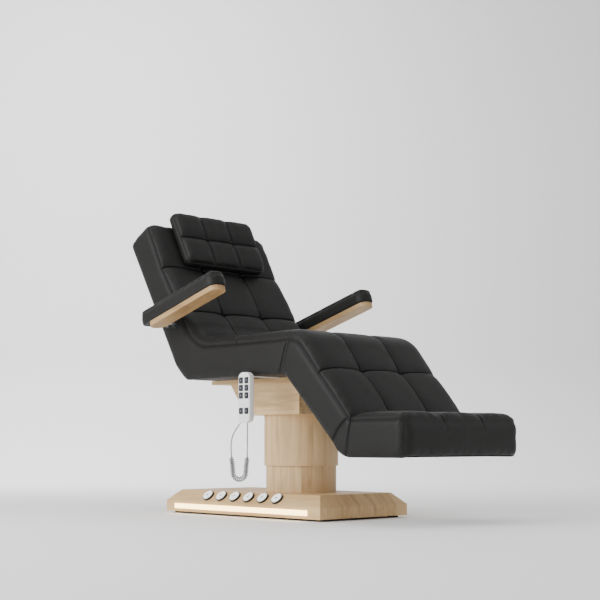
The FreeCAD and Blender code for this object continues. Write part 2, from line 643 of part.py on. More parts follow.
rear_cos, rear_sin = sine(back_turn), cosine(back_turn)
fan = back_z - seat_low
gusset("back_gusset", back_x, back_z, [
    (0, 0), (-deep * rear_cos, -deep * rear_sin, 92, -1), (0, -fan),
], size(74))
bend = doc.addObject("PartDesign::Body", "profile")
bend_outline = bend.newObject("Sketcher::SketchObject", "outline")
bend_outline.AttachmentSupport = [([f for f in bend.Origin.OriginFeatures if f.Role == "YZ_Plane"][0], "")]
bend_outline.MapMode = "FlatFace"
outline(bend_outline, across(size(0), leg_face, wide, 3, d("seat_crown"), d("seat_rise")))
bend_sweep = bend.newObject("PartDesign::Revolution", "sweep")
bend_sweep.Profile = bend_outline
bend_sweep.ReferenceAxis = (bend_outline, ["H_Axis"])
bind(bend_sweep, "Angle", leg_turn)
node("thigh_gusset", cut(bend, [rod(74, -pocket, pocket, "y")]), leg_x, 0, leg_z)
knee_reach = knee_v - leg_low
gusset("knee_gusset", knee_x, knee_z, [
    (0, 0), (-knee_reach * sine(leg_turn), -knee_reach * cosine(leg_turn), 96, -1), (0, foot_low),
], size(66))

# Hand control and its hook
set_left, set_right = d("set_left"), d("set_left") + d("set_wide")
set_low, set_high, set_face = d("set_low"), d("set_high"), -d("set_face")
set_rear, set_mid = set_face + d("set_thick"), set_face + d("set_thick") / 2


def set_shell(inset, y0, y1):
    return prism("XZ_Plane", plan_xz(inset), y1 - y0, (y0 + y1) / 2)


def plan_xz(inset):
    x0, x1, r = set_left + inset, set_right - inset, d("set_round") - inset
    z0, z1 = set_low + inset, set_high - inset
    return [
        (x0 + r, z0), (x1 - r, z0, r, -1), (x1, z0 + r), (x1, z1 - r, r, -1),
        (x1 - r, z1), (x0 + r, z1, r, -1), (x0, z1 - r), (x0, z0 + r, r, -1),
    ]


key_columns = [(set_left + set_right) / 2 - 16, (set_left + set_right) / 2 + 16]
key_rows = [set_high - 31.5, set_high - 60.5, set_high - 89.5, set_high - 149]


def key_block(x, z, half_wide, half_high, radius, y0, y1):
    ring = plan(-half_wide, half_wide, half_high, radius)
    spots = [(x + p[0], z + p[1], *p[2:]) for p in ring]
    return prism("XZ_Plane", spots, y1 - y0, (y0 + y1) / 2)


holes = [key_block(x, z, size(10.3), size(10.8), size(4.3), set_face - 5, set_face + 5)
         for z in key_rows for x in key_columns]
node("handset_front_shell", cut(set_shell(size(0), set_face, set_mid), [
    set_shell(size(2.5), set_face + 2.5, set_mid + 1), *holes]))
hook_mid = (set_left + set_right) / 2
node("handset_rear_shell", fuse([
    cut(set_shell(size(0), set_mid, set_rear), [set_shell(size(2.5), set_mid - 1, set_rear - 2.5)]),
    box(hook_mid - 13, hook_mid + 13, set_rear - 1, set_rear + 6.5, set_high - 3, set_high),
    box(hook_mid - 13, hook_mid + 13, set_rear + 3.5, set_rear + 6.5, set_high - 12, set_high),
]))
place_keys = [(x, z) for z in key_rows for x in key_columns]
for i, (x, z) in enumerate(place_keys, start=1):
    key = fuse([key_block(size(0), size(0), size(10), size(10.5), size(4), set_face - 2, set_face + 6),
                key_block(size(0), size(0), size(11.5), size(12), size(5), set_face + 2.8, set_face + 5)])
    node("handset_button_%d" % i, key, x, 0, z)
corner_in = d("set_round") * (1 - math.sqrt(0.5)) - 14 * math.sqrt(0.5)
boot_x, boot_y, boot_z = set_left + corner_in, set_mid, set_low + corner_in
node("handset_cord_boot", cone(3.4, 5.5, 0, 14), boot_x, boot_y, boot_z, turn_y, 45)
node("handset_hook", fuse([
    box(hook_mid - 10, hook_mid + 10, set_rear + 0.6, -178, seat_low - 2.8, seat_low),
    box(hook_mid - 10, hook_mid + 10, set_rear + 0.6, set_rear + 3, seat_low - 2.8, set_high - 3.6),
]))
gland_x, gland_y = size(-18), size(-280)
node("cord_socket", fuse([
    rod(11, seat_low - 4, seat_low, "z"), cone(3.4, 7.5, seat_low - 18, seat_low - 4),
]), gland_x, gland_y, 0)

# Cord: two hanging leads and the curled stretch between them
shift = sheet.column_x
cord_radius = sheet.cord_radius
vec = FreeCAD.Vector
loop_start, loop_end = vec(-34, -345, 250), vec(19, -309, 250)
loop_center = vec(-7.5, -327, sheet.loop_low + sheet.loop_bend)
across_way = (loop_end - loop_start).normalize()
side_way = across_way.cross(vec(0, 0, 1))
down = vec(0, 0, -1)
coil_line = [loop_start, loop_start + down * 12, loop_start + across_way * 5 + down * 40]
for angle in (-67.5, -22.5, 22.5, 67.5):
    lean = math.radians(angle)
    reach = sheet.loop_bend / math.cos(math.radians(22.5))
    coil_line.append(loop_center + across_way * (reach * math.sin(lean)) - vec(0, 0, reach * math.cos(lean)))
coil_line.extend([loop_end - across_way * 5 + down * 40, loop_end + down * 12, loop_end])
handset_line = [
    vec(boot_x.value, boot_y.value, boot_z.value), vec(-22, -346, 332), vec(-35, -345.7, 308),
    vec(-34, -345.3, 280), vec(-34, -345, 250),
]
socket_line = [
    vec(19, -309, 250), vec(19, -309, 280), vec(15.5, -305, 316), vec(7, -297, 360), vec(-5, -288.5, 412),
    vec(-14, -282.5, 462), vec(-18, -280, 502), vec(-18, -280, 537),
]


def rounded(points, name):
    # straight runs joined by arcs as large as the runs allow
    edges = []
    start = points[0]
    for before, corner, after in zip(points, points[1:], points[2:]):
        come = (corner - before).normalize()
        go = (after - corner).normalize()
        turn = come.getAngle(go)
        if turn < 0.02:
            continue
        reach = 0.45 * min((corner - before).Length, (after - corner).Length)
        radius = reach / math.tan(turn / 2)
        print("%s: turn %.0f degrees, radius %.1f mm" % (name, math.degrees(turn), radius))
        first, last = corner - come * reach, corner + go * reach
        bisect = (go - come).normalize()
        middle = corner + bisect * (radius / math.cos(turn / 2) - radius)
        edges.append(Part.LineSegment(start, first).toShape())
        edges.append(Part.Arc(first, middle, last).toShape())
        start = last
    edges.append(Part.LineSegment(start, points[-1]).toShape())
    return Part.Wire(edges)


def tube_along(wire, start, way):
    ring = Part.Wire([Part.Circle(start, way, cord_radius).toShape()])
    return wire.makePipeShell([ring], True, False)


def soft_piece(name, shape):
    obj = doc.addObject("Part::Feature", name)
    obj.Shape = shape
    obj.Label = name
    obj.Placement = FreeCAD.Placement(vec(shift, 0, 0), FreeCAD.Rotation())
    nodes[name] = obj


for name, line in (("cord_lead_handset", handset_line), ("cord_lead_socket", socket_line)):
    path = rounded(line, name)
    lead = tube_along(path, line[0], line[1] - line[0])
    print("%s: %.0f mm long, volume over section times length %.4f" % (
        name, path.Length, lead.Volume / (math.pi * cord_radius ** 2 * path.Length)))
    soft_piece(name, lead)

# The curls wind round the coil's own line; their radius grows from nothing over the first turn
core = rounded(coil_line, "coil line")
straight = 2 * cord_radius
core_edges = core.OrderedEdges
curl_long = core.Length - 2 * straight
curls = sheet.curl_count


def on_core(run):
    for edge in core_edges:
        if run <= edge.Length or edge is core_edges[-1]:
            spot = edge.getParameterByLength(min(max(run, 0), edge.Length))
            return edge.valueAt(spot), edge.tangentAt(spot).normalize()
        run -= edge.Length


def curl_point(share):
    share = min(max(share, 0), 1)
    spot, way = on_core(straight + share * curl_long)
    ease = min(share, 1 - share) * curls / 1.5
    ease = 1 if ease >= 1 else ease * ease * (3 - 2 * ease)
    angle = 2 * math.pi * curls * share
    third_way = way.cross(side_way).normalize()
    return spot + (third_way * math.cos(angle) + side_way * math.sin(angle)) * (sheet.curl_radius * ease)


def arc_edge(start, way, end):
    chord = end - start
    lean = way.getAngle(chord)
    if lean < 1e-4:
        return Part.LineSegment(start, end).toShape()
    line = vec(chord).normalize()
    out = (way - line * way.dot(line)).normalize()
    middle = (start + end) * 0.5 + out * (chord.Length / 2 * math.tan(lean / 2))
    return Part.Arc(start, middle, end).toShape()


def biarc(start, start_way, end, end_way):
    # two tangent arcs from one point and direction to the next
    gap_way = end - start
    both = start_way + end_way
    bend = 2 * (1 - start_way.dot(end_way))
    mixed = gap_way.dot(both)
    if bend < 1e-9:
        reach = gap_way.Length / 2
    else:
        reach = (-mixed + math.sqrt(mixed ** 2 + bend * gap_way.dot(gap_way))) / bend
    join = (start + start_way * reach + end - end_way * reach) * 0.5
    back = vec(end_way) * -1
    second = arc_edge(end, back, join)
    return [arc_edge(start, start_way, join), second]


quarters = curls * 4
spots = [curl_point(i / quarters) for i in range(quarters + 1)]
tiny = 1e-4
ways = []
for i in range(quarters + 1):
    ways.append((curl_point(i / quarters + tiny) - curl_point(i / quarters - tiny)).normalize())
ways[0] = on_core(0)[1]
ways[-1] = on_core(core.Length)[1]
turns_edges = [Part.LineSegment(coil_line[0], spots[0]).toShape()]
for i in range(quarters):
    turns_edges.extend(biarc(spots[i], ways[i], spots[i + 1], ways[i + 1]))
turns_edges.append(Part.LineSegment(spots[-1], coil_line[-1]).toShape())
curl_wire = Part.Wire(turns_edges)
samples = []
for edge in curl_wire.OrderedEdges:
    samples.extend(edge.discretize(4)[:-1])
least = 1e9
for i, one in enumerate(samples):
    for other in samples[i + 20:]:
        least = min(least, (one - other).Length)
print("curls: least gap %.2f mm, cord in the curls %.0f mm" % (least - 2 * cord_radius, curl_wire.Length))
coil = tube_along(curl_wire, coil_line[0], ways[0])
print("curls: volume over section times length %.4f" % (
    coil.Volume / (math.pi * cord_radius ** 2 * curl_wire.Length)))
soft_piece("cord_coil", coil)

# Checks, then the files
doc.recompute()
for obj in doc.Objects:
    if "Invalid" in obj.State or "Error" in obj.State:
        raise SystemExit("%s did not build: %s" % (obj.Label, obj.State))
for name, obj in nodes.items():
    if obj.Shape.isNull() or not obj.Shape.isValid() or not obj.Shape.Solids:
        raise SystemExit("%s has no valid solid" % name)
os.makedirs("parts", exist_ok=True)
for name, obj in nodes.items():
    obj.Shape.exportStep("parts/%s.step" % name)
box_all = Part.makeCompound([obj.Shape for obj in nodes.values()]).BoundBox
print("nodes %d, box %s" % (len(nodes), box_all))
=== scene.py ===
import math
import bpy
import numpy as np
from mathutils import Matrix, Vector


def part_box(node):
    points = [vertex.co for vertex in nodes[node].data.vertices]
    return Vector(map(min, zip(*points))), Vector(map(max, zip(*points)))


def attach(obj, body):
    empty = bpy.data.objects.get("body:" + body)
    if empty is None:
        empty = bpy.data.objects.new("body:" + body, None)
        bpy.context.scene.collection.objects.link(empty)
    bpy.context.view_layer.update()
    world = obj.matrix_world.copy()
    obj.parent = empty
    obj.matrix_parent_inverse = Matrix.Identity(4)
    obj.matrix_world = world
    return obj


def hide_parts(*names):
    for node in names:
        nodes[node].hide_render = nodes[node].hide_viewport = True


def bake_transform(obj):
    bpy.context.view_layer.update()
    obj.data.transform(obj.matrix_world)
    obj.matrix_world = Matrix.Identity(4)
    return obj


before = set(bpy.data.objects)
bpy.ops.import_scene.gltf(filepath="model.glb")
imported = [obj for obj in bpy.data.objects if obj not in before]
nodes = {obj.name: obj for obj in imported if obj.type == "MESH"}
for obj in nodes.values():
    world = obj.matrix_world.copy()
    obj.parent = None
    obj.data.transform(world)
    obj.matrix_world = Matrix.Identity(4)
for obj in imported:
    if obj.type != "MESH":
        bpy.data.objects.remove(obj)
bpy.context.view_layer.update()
mm = 0.001


# hand tools
def leaveEdit():
    bpy.ops.object.mode_set(mode="OBJECT")


def clearSelection():
    if bpy.context.object and bpy.context.object.mode != "OBJECT":
        leaveEdit()
    bpy.ops.object.select_all(action="DESELECT")


def takeUp(obj):
    clearSelection()
    obj.select_set(True)
    bpy.context.view_layer.objects.active = obj
    return obj


def newest(name):
    obj = bpy.context.object
    obj.name = name
    obj.data.name = name
    return obj


def applyModifiers(obj):
    takeUp(obj)
    for modifier in list(obj.modifiers):
        bpy.ops.object.modifier_apply(modifier=modifier.name)
    return obj


def smoothBelow(obj, degrees):
    takeUp(obj)
    bpy.ops.object.shade_smooth_by_angle(angle=math.radians(degrees))
    return obj


def points(obj):
    flat = np.zeros(len(obj.data.vertices) * 3)
    obj.data.vertices.foreach_get("co", flat)
    return flat.reshape(-1, 3)


def movePoints(obj, places):
    obj.data.vertices.foreach_set("co", np.asarray(places, float).ravel())
    obj.data.update()


def selectOnly(obj, faces=(), edges=()):
    takeUp(obj)
    bpy.ops.object.mode_set(mode="EDIT")
    bpy.ops.mesh.select_mode(type="EDGE" if len(edges) else "FACE")
    bpy.ops.mesh.select_all(action="DESELECT")
    leaveEdit()
    for index in faces:
        obj.data.polygons[index].select = True
    for index in edges:
        obj.data.edges[index].select = True
    bpy.ops.object.mode_set(mode="EDIT")


# a box cut into an even grid on all six sides, each axis by its own count
def gridBox(name, counts):
    clearSelection()
    bpy.ops.mesh.primitive_cube_add(size=1)
    obj = newest(name)
    for axis, count in enumerate(counts):
        have = 1
        while have < count:
            # the first pass cuts the whole length, later ones halve as many steps as are still missing
            cuts = min(count, 100) - 1 if have == 1 else 1
            more = min(have, (count - have) // cuts)
            ends = points(obj)[:, axis]
            steps = np.unique(np.round(ends, 5))
            along = [e.index for e in obj.data.edges
                     if abs(ends[e.vertices[0]] - ends[e.vertices[1]]) > 1e-6
                     and min(ends[v] for v in e.vertices) < steps[more] - 1e-6]
            selectOnly(obj, edges=along)
            bpy.ops.mesh.subdivide(number_cuts=cuts)
            leaveEdit()
            have += more * cuts
        places = points(obj)
        steps = np.unique(np.round(places[:, axis], 5))
        places[:, axis] = np.searchsorted(steps, np.round(places[:, axis], 5)) / count - 0.5
        movePoints(obj, places)
    return obj


# a square corner becomes a round one: a and b are distances in from the two faces
def roundCorner(a, b, radius):
    inA = np.clip(radius - a, 0, None)
    inB = np.clip(radius - b, 0, None)
    far = np.hypot(inA, inB)
    share = np.where(far > 1e-9, np.maximum(inA, inB) / np.maximum(far, 1e-9), 1)
    both = (inA > 0) & (inB > 0)
    return np.where(both, radius - inA * share, a), np.where(both, radius - inB * share, b)


# height of stuffing at a distance from a seam: steep at the thread, flat past the roll
def swellAt(distance, roll):
    t = np.clip(distance / roll, 0, 1)
    return np.sqrt(np.clip(1 - (1 - t) ** 2, 0, 1))


# the cut of the leather laid flat: the face, and the sides folded out from its edges
def paintCut(obj, along, y, depth, isTop, half):
    flat = np.stack([along, np.where(isTop, y, np.sign(y) * (half + depth))], 1) * mm
    layer = obj.data.uv_layers[0] if obj.data.uv_layers else obj.data.uv_layers.new(name="cut")
    layer.name = "cut"
    corner = np.zeros(len(obj.data.loops), int)
    obj.data.loops.foreach_get("vertex_index", corner)
    layer.data.foreach_set("uv", flat[corner].astype(np.float32).ravel())


def tag(obj, name, values):
    layer = obj.data.attributes.new(name, "FLOAT", "POINT")
    layer.data.foreach_set("value", np.asarray(values, np.float32))


# cloth under pressure, held at the seams, with a limit on each point's travel
stuffed = {
    "cloth": dict(quality=4, mass=0.25, tension_stiffness=8, compression_stiffness=8, shear_stiffness=3,
                  bending_stiffness=0.4, shrink_min=-0.008, vertex_group_mass="sewn", use_pressure=True,
                  uniform_pressure_force=4.0),
    "frames": 20, "filled": 0.93,
}


def inflate(obj, held, limit):
    start = points(obj)
    normals = np.array([v.normal for v in obj.data.vertices])
    group = obj.vertex_groups.new(name="sewn")
    for index, weight in enumerate(held):
        if weight > 0:
            group.add([index], float(weight), "REPLACE")
    takeUp(obj)
    stuffing = obj.modifiers.new("stuffing", "CLOTH")
    for key, value in stuffed["cloth"].items():
        setattr(stuffing.settings, key, value)
    stuffing.settings.effector_weights.gravity = 0
    stuffing.collision_settings.use_collision = False
    stuffing.collision_settings.use_self_collision = False
    for step in range(1, stuffed["frames"] + 1):
        bpy.context.scene.frame_set(step)
    bpy.ops.object.modifier_apply(modifier="stuffing")
    bpy.context.scene.frame_set(1)
    travel = points(obj) - start
    far = np.linalg.norm(travel, axis=1)
    outward = np.sum(travel * normals, axis=1)
    travel *= np.minimum(1, limit / np.maximum(far, 1e-6))[:, None]
    # the foam fills every panel out to most of its limit, also where the cloth hardly moved
    short = np.clip(stuffed["filled"] * limit - np.clip(outward, 0, limit), 0, None)
    movePoints(obj, start + travel + normals * short[:, None])
    obj.vertex_groups.clear()


def refine(obj):
    finer = obj.modifiers.new("finer", "SUBSURF")
    finer.levels = 1
    finer.render_levels = 1
    return applyModifiers(obj)


# shader sums in plain Python
class Wire:
    def __init__(self, finish, socket):
        self.finish = finish
        self.socket = socket

    def sum(self, operation, first, second):
        return self.finish.add("ShaderNodeMath", {"operation": operation}, {0: first, 1: second})

    def __add__(self, other):
        return self.sum("ADD", self, other)

    def __radd__(self, other):
        return self.sum("ADD", other, self)

    def __sub__(self, other):
        return self.sum("SUBTRACT", self, other)

    def __mul__(self, other):
        return self.sum("MULTIPLY", self, other)


class Finish:
    def __init__(self, name, metallic=0.0):
        self.material = bpy.data.materials.new(name)
        self.material.use_nodes = True
        self.tree = self.material.node_tree
        self.shader = self.tree.nodes["Principled BSDF"]
        self.shader.inputs["Metallic"].default_value = metallic

    def add(self, kind, settings=None, inputs=None, out=0):
        node = self.tree.nodes.new(kind)
        for key, value in (settings or {}).items():
            if key == "stops":
                ramp = node.color_ramp.elements
                while len(ramp) < len(value):
                    ramp.new(0.5)
                for element, (place, color) in zip(ramp, value):
                    element.position = place
                    element.color = (*color, 1)
            else:
                setattr(node, key, value)
        for key, value in (inputs or {}).items():
            self.feed(node.inputs[key], value)
        return Wire(self, node.outputs[out])

    def feed(self, socket, value):
        if isinstance(value, Wire):
            self.tree.links.new(value.socket, socket)
        else:
            socket.default_value = value

    def set(self, **values):
        for key, value in values.items():
            self.feed(self.shader.inputs[key.replace("_", " ")], value)
        return self

    def place(self, scale=(1, 1, 1), uv=False):
        where = self.add("ShaderNodeTexCoord", out="UV" if uv else "Object")
        return self.add("ShaderNodeMapping", {}, {"Vector": where, "Scale": scale})

    def noise(self, where, scale, detail=4.0, rough=0.5, twist=0.0):
        return self.add("ShaderNodeTexNoise", {}, {
            "Vector": where, "Scale": scale, "Detail": detail, "Roughness": rough, "Distortion": twist})

    def ramp(self, value, *stops):
        return self.add("ShaderNodeValToRGB", {"stops": list(stops)}, {"Fac": value})

    def level(self, value, low, high, start=0.0, end=1.0):
        return self.add("ShaderNodeMapRange", {}, {
            "Value": value, "From Min": low, "From Max": high, "To Min": start, "To Max": end})

    def mixed(self, share, first, second):
        return self.add("ShaderNodeMix", {"data_type": "RGBA"},
                        {"Factor": share, 6: first, 7: second}, out=2)

    def bump(self, height, strength, distance):
        return self.add("ShaderNodeBump", {}, {
            "Height": height, "Strength": strength, "Distance": distance})


# black upholstery leather: pebble grain, soft creases towards the seams, and a near-black matte line along
# each seam: the thread and painted shade in its groove
def blackLeather():
    hide = Finish("satin_black_leather")
    where = hide.place(uv=True)
    pebble = hide.add("ShaderNodeTexVoronoi", {"feature": "DISTANCE_TO_EDGE"},
                      {"Vector": where, "Scale": 640.0})
    wander = hide.noise(where, 34.0, 5.0, 0.6)
    cloud = hide.noise(where, 5.0, 3.0, 0.5)
    pull = hide.add("ShaderNodeAttribute", {"attribute_name": "pull"}, out="Fac")
    thread = hide.add("ShaderNodeAttribute", {"attribute_name": "thread"}, out="Fac")
    wrinkle = hide.noise(where, 95.0, 3.0, 0.55, 1.2)
    height = hide.level(pebble, 0.0, 0.35) * 0.35 + wander * 0.6 + wrinkle * pull * 1.6
    tone = hide.ramp(cloud * 0.6 + wander * 0.4,
                     (0.3, (0.0078, 0.0074, 0.0070)), (0.75, (0.0130, 0.0123, 0.0117)))
    hide.set(Base_Color=tone, Roughness=0.42 + wander * 0.16,
             Normal=hide.bump(height, 0.22, 0.0012))
    hide.shader.inputs["Specular IOR Level"].default_value = 0.20
    # painted shade: a near-black matte shader mixed in along the seams, for the thread and the shade in the
    # seam grooves
    grooveShade = hide.add("ShaderNodeBsdfDiffuse", {}, {"Color": (0.002, 0.002, 0.002, 1)})
    both = hide.add("ShaderNodeMixShader", {}, {
        "Fac": hide.level(thread, 0.15, 0.95), 1: Wire(hide, hide.shader.outputs[0]), 2: grooveShade})
    hide.tree.links.new(both.socket, hide.tree.nodes["Material Output"].inputs["Surface"])
    return hide.material


# pale oak: long figure, darker late wood, short pores, boards of slightly different tone
def paleOak(name, along, boards=0.0, around=None, deep=(1, 1, 1), upright=9.0, uneven=0.10):
    oak = Finish(name)
    stretch = [9.0, 9.0, 9.0]
    if along != 2:
        stretch[2] = upright
    stretch[along] = 0.8
    pores = [320.0, 320.0, 320.0]
    pores[along] = 14.0
    cross = (along + 1) % 3 if along != 1 else 0
    where = oak.place()
    parts = oak.add("ShaderNodeSeparateXYZ", {}, {"Vector": where})
    xyz = [parts, Wire(oak, parts.socket.node.outputs[1]), Wire(oak, parts.socket.node.outputs[2])]
    if around is not None:
        turn = oak.add("ShaderNodeMath", {"operation": "ARCTAN2"}, {0: xyz[1], 1: xyz[0] - around})
        count = turn * boards + 40.35
    elif boards:
        count = xyz[cross] * boards + 60.4
    else:
        count = xyz[cross] * 0.01
    board = oak.add("ShaderNodeMath", {"operation": "FLOOR"}, {0: count})
    shift = oak.add("ShaderNodeCombineXYZ", {}, {0: board * 1.37, 1: board * 2.11, 2: board * 0.83})
    moved = oak.add("ShaderNodeVectorMath", {"operation": "ADD"}, {0: where, 1: shift})
    long = oak.add("ShaderNodeVectorMath", {"operation": "MULTIPLY"}, {0: moved, 1: stretch})
    figure = oak.noise(long, 2.1, 5.0, 0.55, 0.9)
    rings = oak.noise(long, 9.0, 3.0, 0.5, 0.5)
    short = oak.add("ShaderNodeVectorMath", {"operation": "MULTIPLY"}, {0: moved, 1: pores})
    pore = oak.noise(short, 1.0, 2.0, 0.5)
    tint = oak.add("ShaderNodeTexWhiteNoise", {"noise_dimensions": "1D"}, {"W": board})
    late, wood, early = [tuple(c * d for c, d in zip(color, deep)) for color in (
        (0.43, 0.265, 0.120), (0.63, 0.420, 0.210), (0.75, 0.54, 0.295))]
    body = oak.ramp(figure * 0.7 + rings * 0.3 + (tint - 0.5) * uneven,
                    (0.30, late), (0.47, wood), (0.66, early))
    flecked = oak.mixed(oak.level(pore, 0.60, 0.76, 0.0, 0.34), body, (0.30, 0.19, 0.10, 1))
    height = rings * 0.5 - oak.level(pore, 0.58, 0.75) * 0.8
    oak.set(Base_Color=flecked, Roughness=0.46 + rings * 0.14, Normal=oak.bump(height, 0.16, 0.0006))
    return oak.material


def mouldedPlastic(name, color, rough, grain=420.0, glow=0.0):
    shell = Finish(name)
    where = shell.place()
    fine = shell.noise(where, grain, 2.0, 0.5)
    wide = shell.noise(where, 11.0, 3.0, 0.5)
    pale = tuple(min(1, c * 1.06) for c in color)
    shell.set(Base_Color=shell.ramp(wide, (0.3, color), (0.7, pale)),
              Roughness=rough + fine * 0.10 + wide * 0.06, Normal=shell.bump(fine, 0.10, 0.0004))
    if glow:
        shell.set(Emission_Color=(*pale, 1), Emission_Strength=glow)
    return shell.material


def paintedSteel(name, color, rough):
    steel = Finish(name)
    where = steel.place()
    peel = steel.noise(where, 160.0, 3.0, 0.55)
    rub = steel.noise(where, 14.0, 5.0, 0.65)
    worn = tuple(c * 0.8 + 0.05 for c in color)
    steel.set(Base_Color=steel.ramp(rub, (0.35, color), (0.8, worn)), Roughness=rough + rub * 0.18,
              Normal=steel.bump(peel, 0.08, 0.0005))
    return steel.material


def drawnSteel(name):
    rod = Finish(name, 1.0)
    streak = rod.noise(rod.place(scale=(6, 240, 240)), 3.0, 3.0, 0.5)
    rod.set(Base_Color=rod.ramp(streak, (0.3, (0.50, 0.51, 0.52)), (0.7, (0.66, 0.67, 0.68))),
            Roughness=0.18 + streak * 0.16, Normal=rod.bump(streak, 0.05, 0.0003))
    return rod.material


# a milky strip over a row of small lamps
def lampStrip():
    strip = Finish("warm_lamp_strip")
    where = strip.place()
    along = strip.add("ShaderNodeSeparateXYZ", {}, {"Vector": where})
    spot = strip.add("ShaderNodeMath", {"operation": "SINE"}, {0: along * 377.0})
    haze = strip.noise(where, 60.0, 2.0, 0.5)
    share = strip.level(spot, -1.0, 1.0) * 0.5 + haze * 0.3
    glow = strip.mixed(share, (1.0, 0.66, 0.24, 1), (1.0, 0.76, 0.36, 1))
    strip.set(Base_Color=strip.mixed(haze, (0.70, 0.58, 0.32, 1), (0.76, 0.66, 0.42, 1)),
              Emission_Color=glow, Roughness=0.35 + haze * 0.1)
    strip.shader.inputs["Emission Strength"].default_value = 7.0
    return strip.material


def rubber(name, color):
    sole = Finish(name)
    where = sole.place()
    scuff = sole.noise(where, 55.0, 5.0, 0.65)
    speck = sole.noise(where, 700.0, 2.0, 0.5)
    light = tuple(c * 1.7 + 0.01 for c in color)
    sole.set(Base_Color=sole.ramp(scuff, (0.35, color), (0.8, light)), Roughness=0.62 + scuff * 0.2,
             Normal=sole.bump(speck, 0.15, 0.0004))
    return sole.material


leather = blackLeather()
finishes = {
    "plinthOak": paleOak("plinth_oak", 0, boards=9.0, deep=(0.94, 0.90, 0.82), upright=2.6),
    "boxOak": paleOak("box_oak", 0),
    "drumOak": paleOak("drum_oak", 2, boards=3.1, around=-0.066, uneven=0.04),
    # the arm boards' oak is darkened overall, to the tone of the boards' shaded side: painted shade
    "armOak": paleOak("arm_oak", 0, deep=(0.62, 0.57, 0.49)),
    "rearVinyl": mouldedPlastic("rear_vinyl", (0.010, 0.010, 0.0105), 0.55, 260.0),
    "blackSteel": paintedSteel("black_steel", (0.010, 0.010, 0.0105), 0.62),
    "brightSteel": drawnSteel("bright_steel"),
    "motorGrey": paintedSteel("motor_grey", (0.16, 0.165, 0.17), 0.42),
    "blackPlastic": mouldedPlastic("black_plastic", (0.012, 0.012, 0.013), 0.38),
    "whitePlastic": mouldedPlastic("white_plastic", (0.84, 0.84, 0.84), 0.30),
    # the button tops glow faintly though they hold no lamp: painted light
    "buttonWhite": mouldedPlastic("button_white", (0.92, 0.92, 0.92), 0.34, glow=0.7),
    "keyGrey": mouldedPlastic("key_grey", (0.010, 0.012, 0.018), 0.5),
    "markGrey": mouldedPlastic("mark_grey", (0.20, 0.21, 0.22), 0.5),
    "markPale": mouldedPlastic("mark_pale", (0.26, 0.27, 0.29), 0.5),
    "lampStrip": lampStrip(),
    "footRubber": rubber("foot_rubber", (0.014, 0.014, 0.014)),
    "cordGrey": rubber("cord_grey", (0.20, 0.20, 0.205)),
}

wearing = {
    "plinthOak": ("base_plinth",), "boxOak": ("motor_box", "top_plate"),
    "drumOak": ("column_lower_cover", "column_upper_cover"), "armOak": ("arm_right_board", "arm_left_board"),
    "rearVinyl": ("back_rear_panel",), "lampStrip": ("led_strips",), "footRubber": ("base_feet",),
    "blackPlastic": ("power_inlet", "cord_socket", "foot_button_bezels"),
    "motorGrey": ("control_box", "back_actuator", "leg_actuator", "lift_actuator"),
    "brightSteel": ("lift_rod", "back_actuator_rod", "leg_actuator_rod", "arm_pivot_bolts", "seat_hinge_pins"),
    "whitePlastic": ("handset_front_shell", "handset_rear_shell", "handset_hook", "handset_cord_boot"),
}
finishOf = {node: finish for finish, worn in wearing.items() for node in worn}


def wear(obj, finish):
    obj.data.materials.clear()
    obj.data.materials.append(finish)
    return obj


for name, obj in nodes.items():
    if name.startswith("handset_button"):
        finish = "keyGrey"
    elif name.startswith("foot_button_") and name != "foot_button_bezels":
        finish = "buttonWhite"
    else:
        finish = finishOf.get(name, "blackSteel")
    wear(obj, finishes[finish])
print("finishes on", len(nodes), "frame pieces")

# broken edges, as sanded wood has, in millimetres
brokenEdges = {
    "base_plinth": 1.6, "motor_box": 1.4, "top_plate": 1.2, "arm_right_board": 2.0, "arm_left_board": 2.0,
}
for name, width in brokenEdges.items():
    joined = nodes[name].modifiers.new("joined", "WELD")
    joined.merge_threshold = 0.00002
    broken = nodes[name].modifiers.new("broken", "BEVEL")
    broken.limit_method = "ANGLE"
    broken.angle_limit = math.radians(40)
    broken.width = width * mm
    broken.segments = 3
    broken.harden_normals = True


# camera and studio
studio = {"place": (3.5626, -3.4626, 0.2964), "turn": 46.40, "lens": 73.75, "shift": 0.2383,
          "wide": 64.0, "near": 16.0, "far": 8.0, "high": 9.0, "sweep": 3.0, "sweepCuts": 24,
          "sky": (0.80, 0.80, 0.80), "skyStrength": 0.92, "sensor": 36, "clip": 200}

bpy.ops.object.camera_add(
    location=studio["place"], rotation=(math.radians(90), 0, math.radians(studio["turn"])))
camera = bpy.context.object
camera.data.lens = studio["lens"]
camera.data.sensor_width = studio["sensor"]
camera.data.shift_y = studio["shift"]
camera.data.clip_end = studio["clip"]
bpy.context.scene.camera = camera


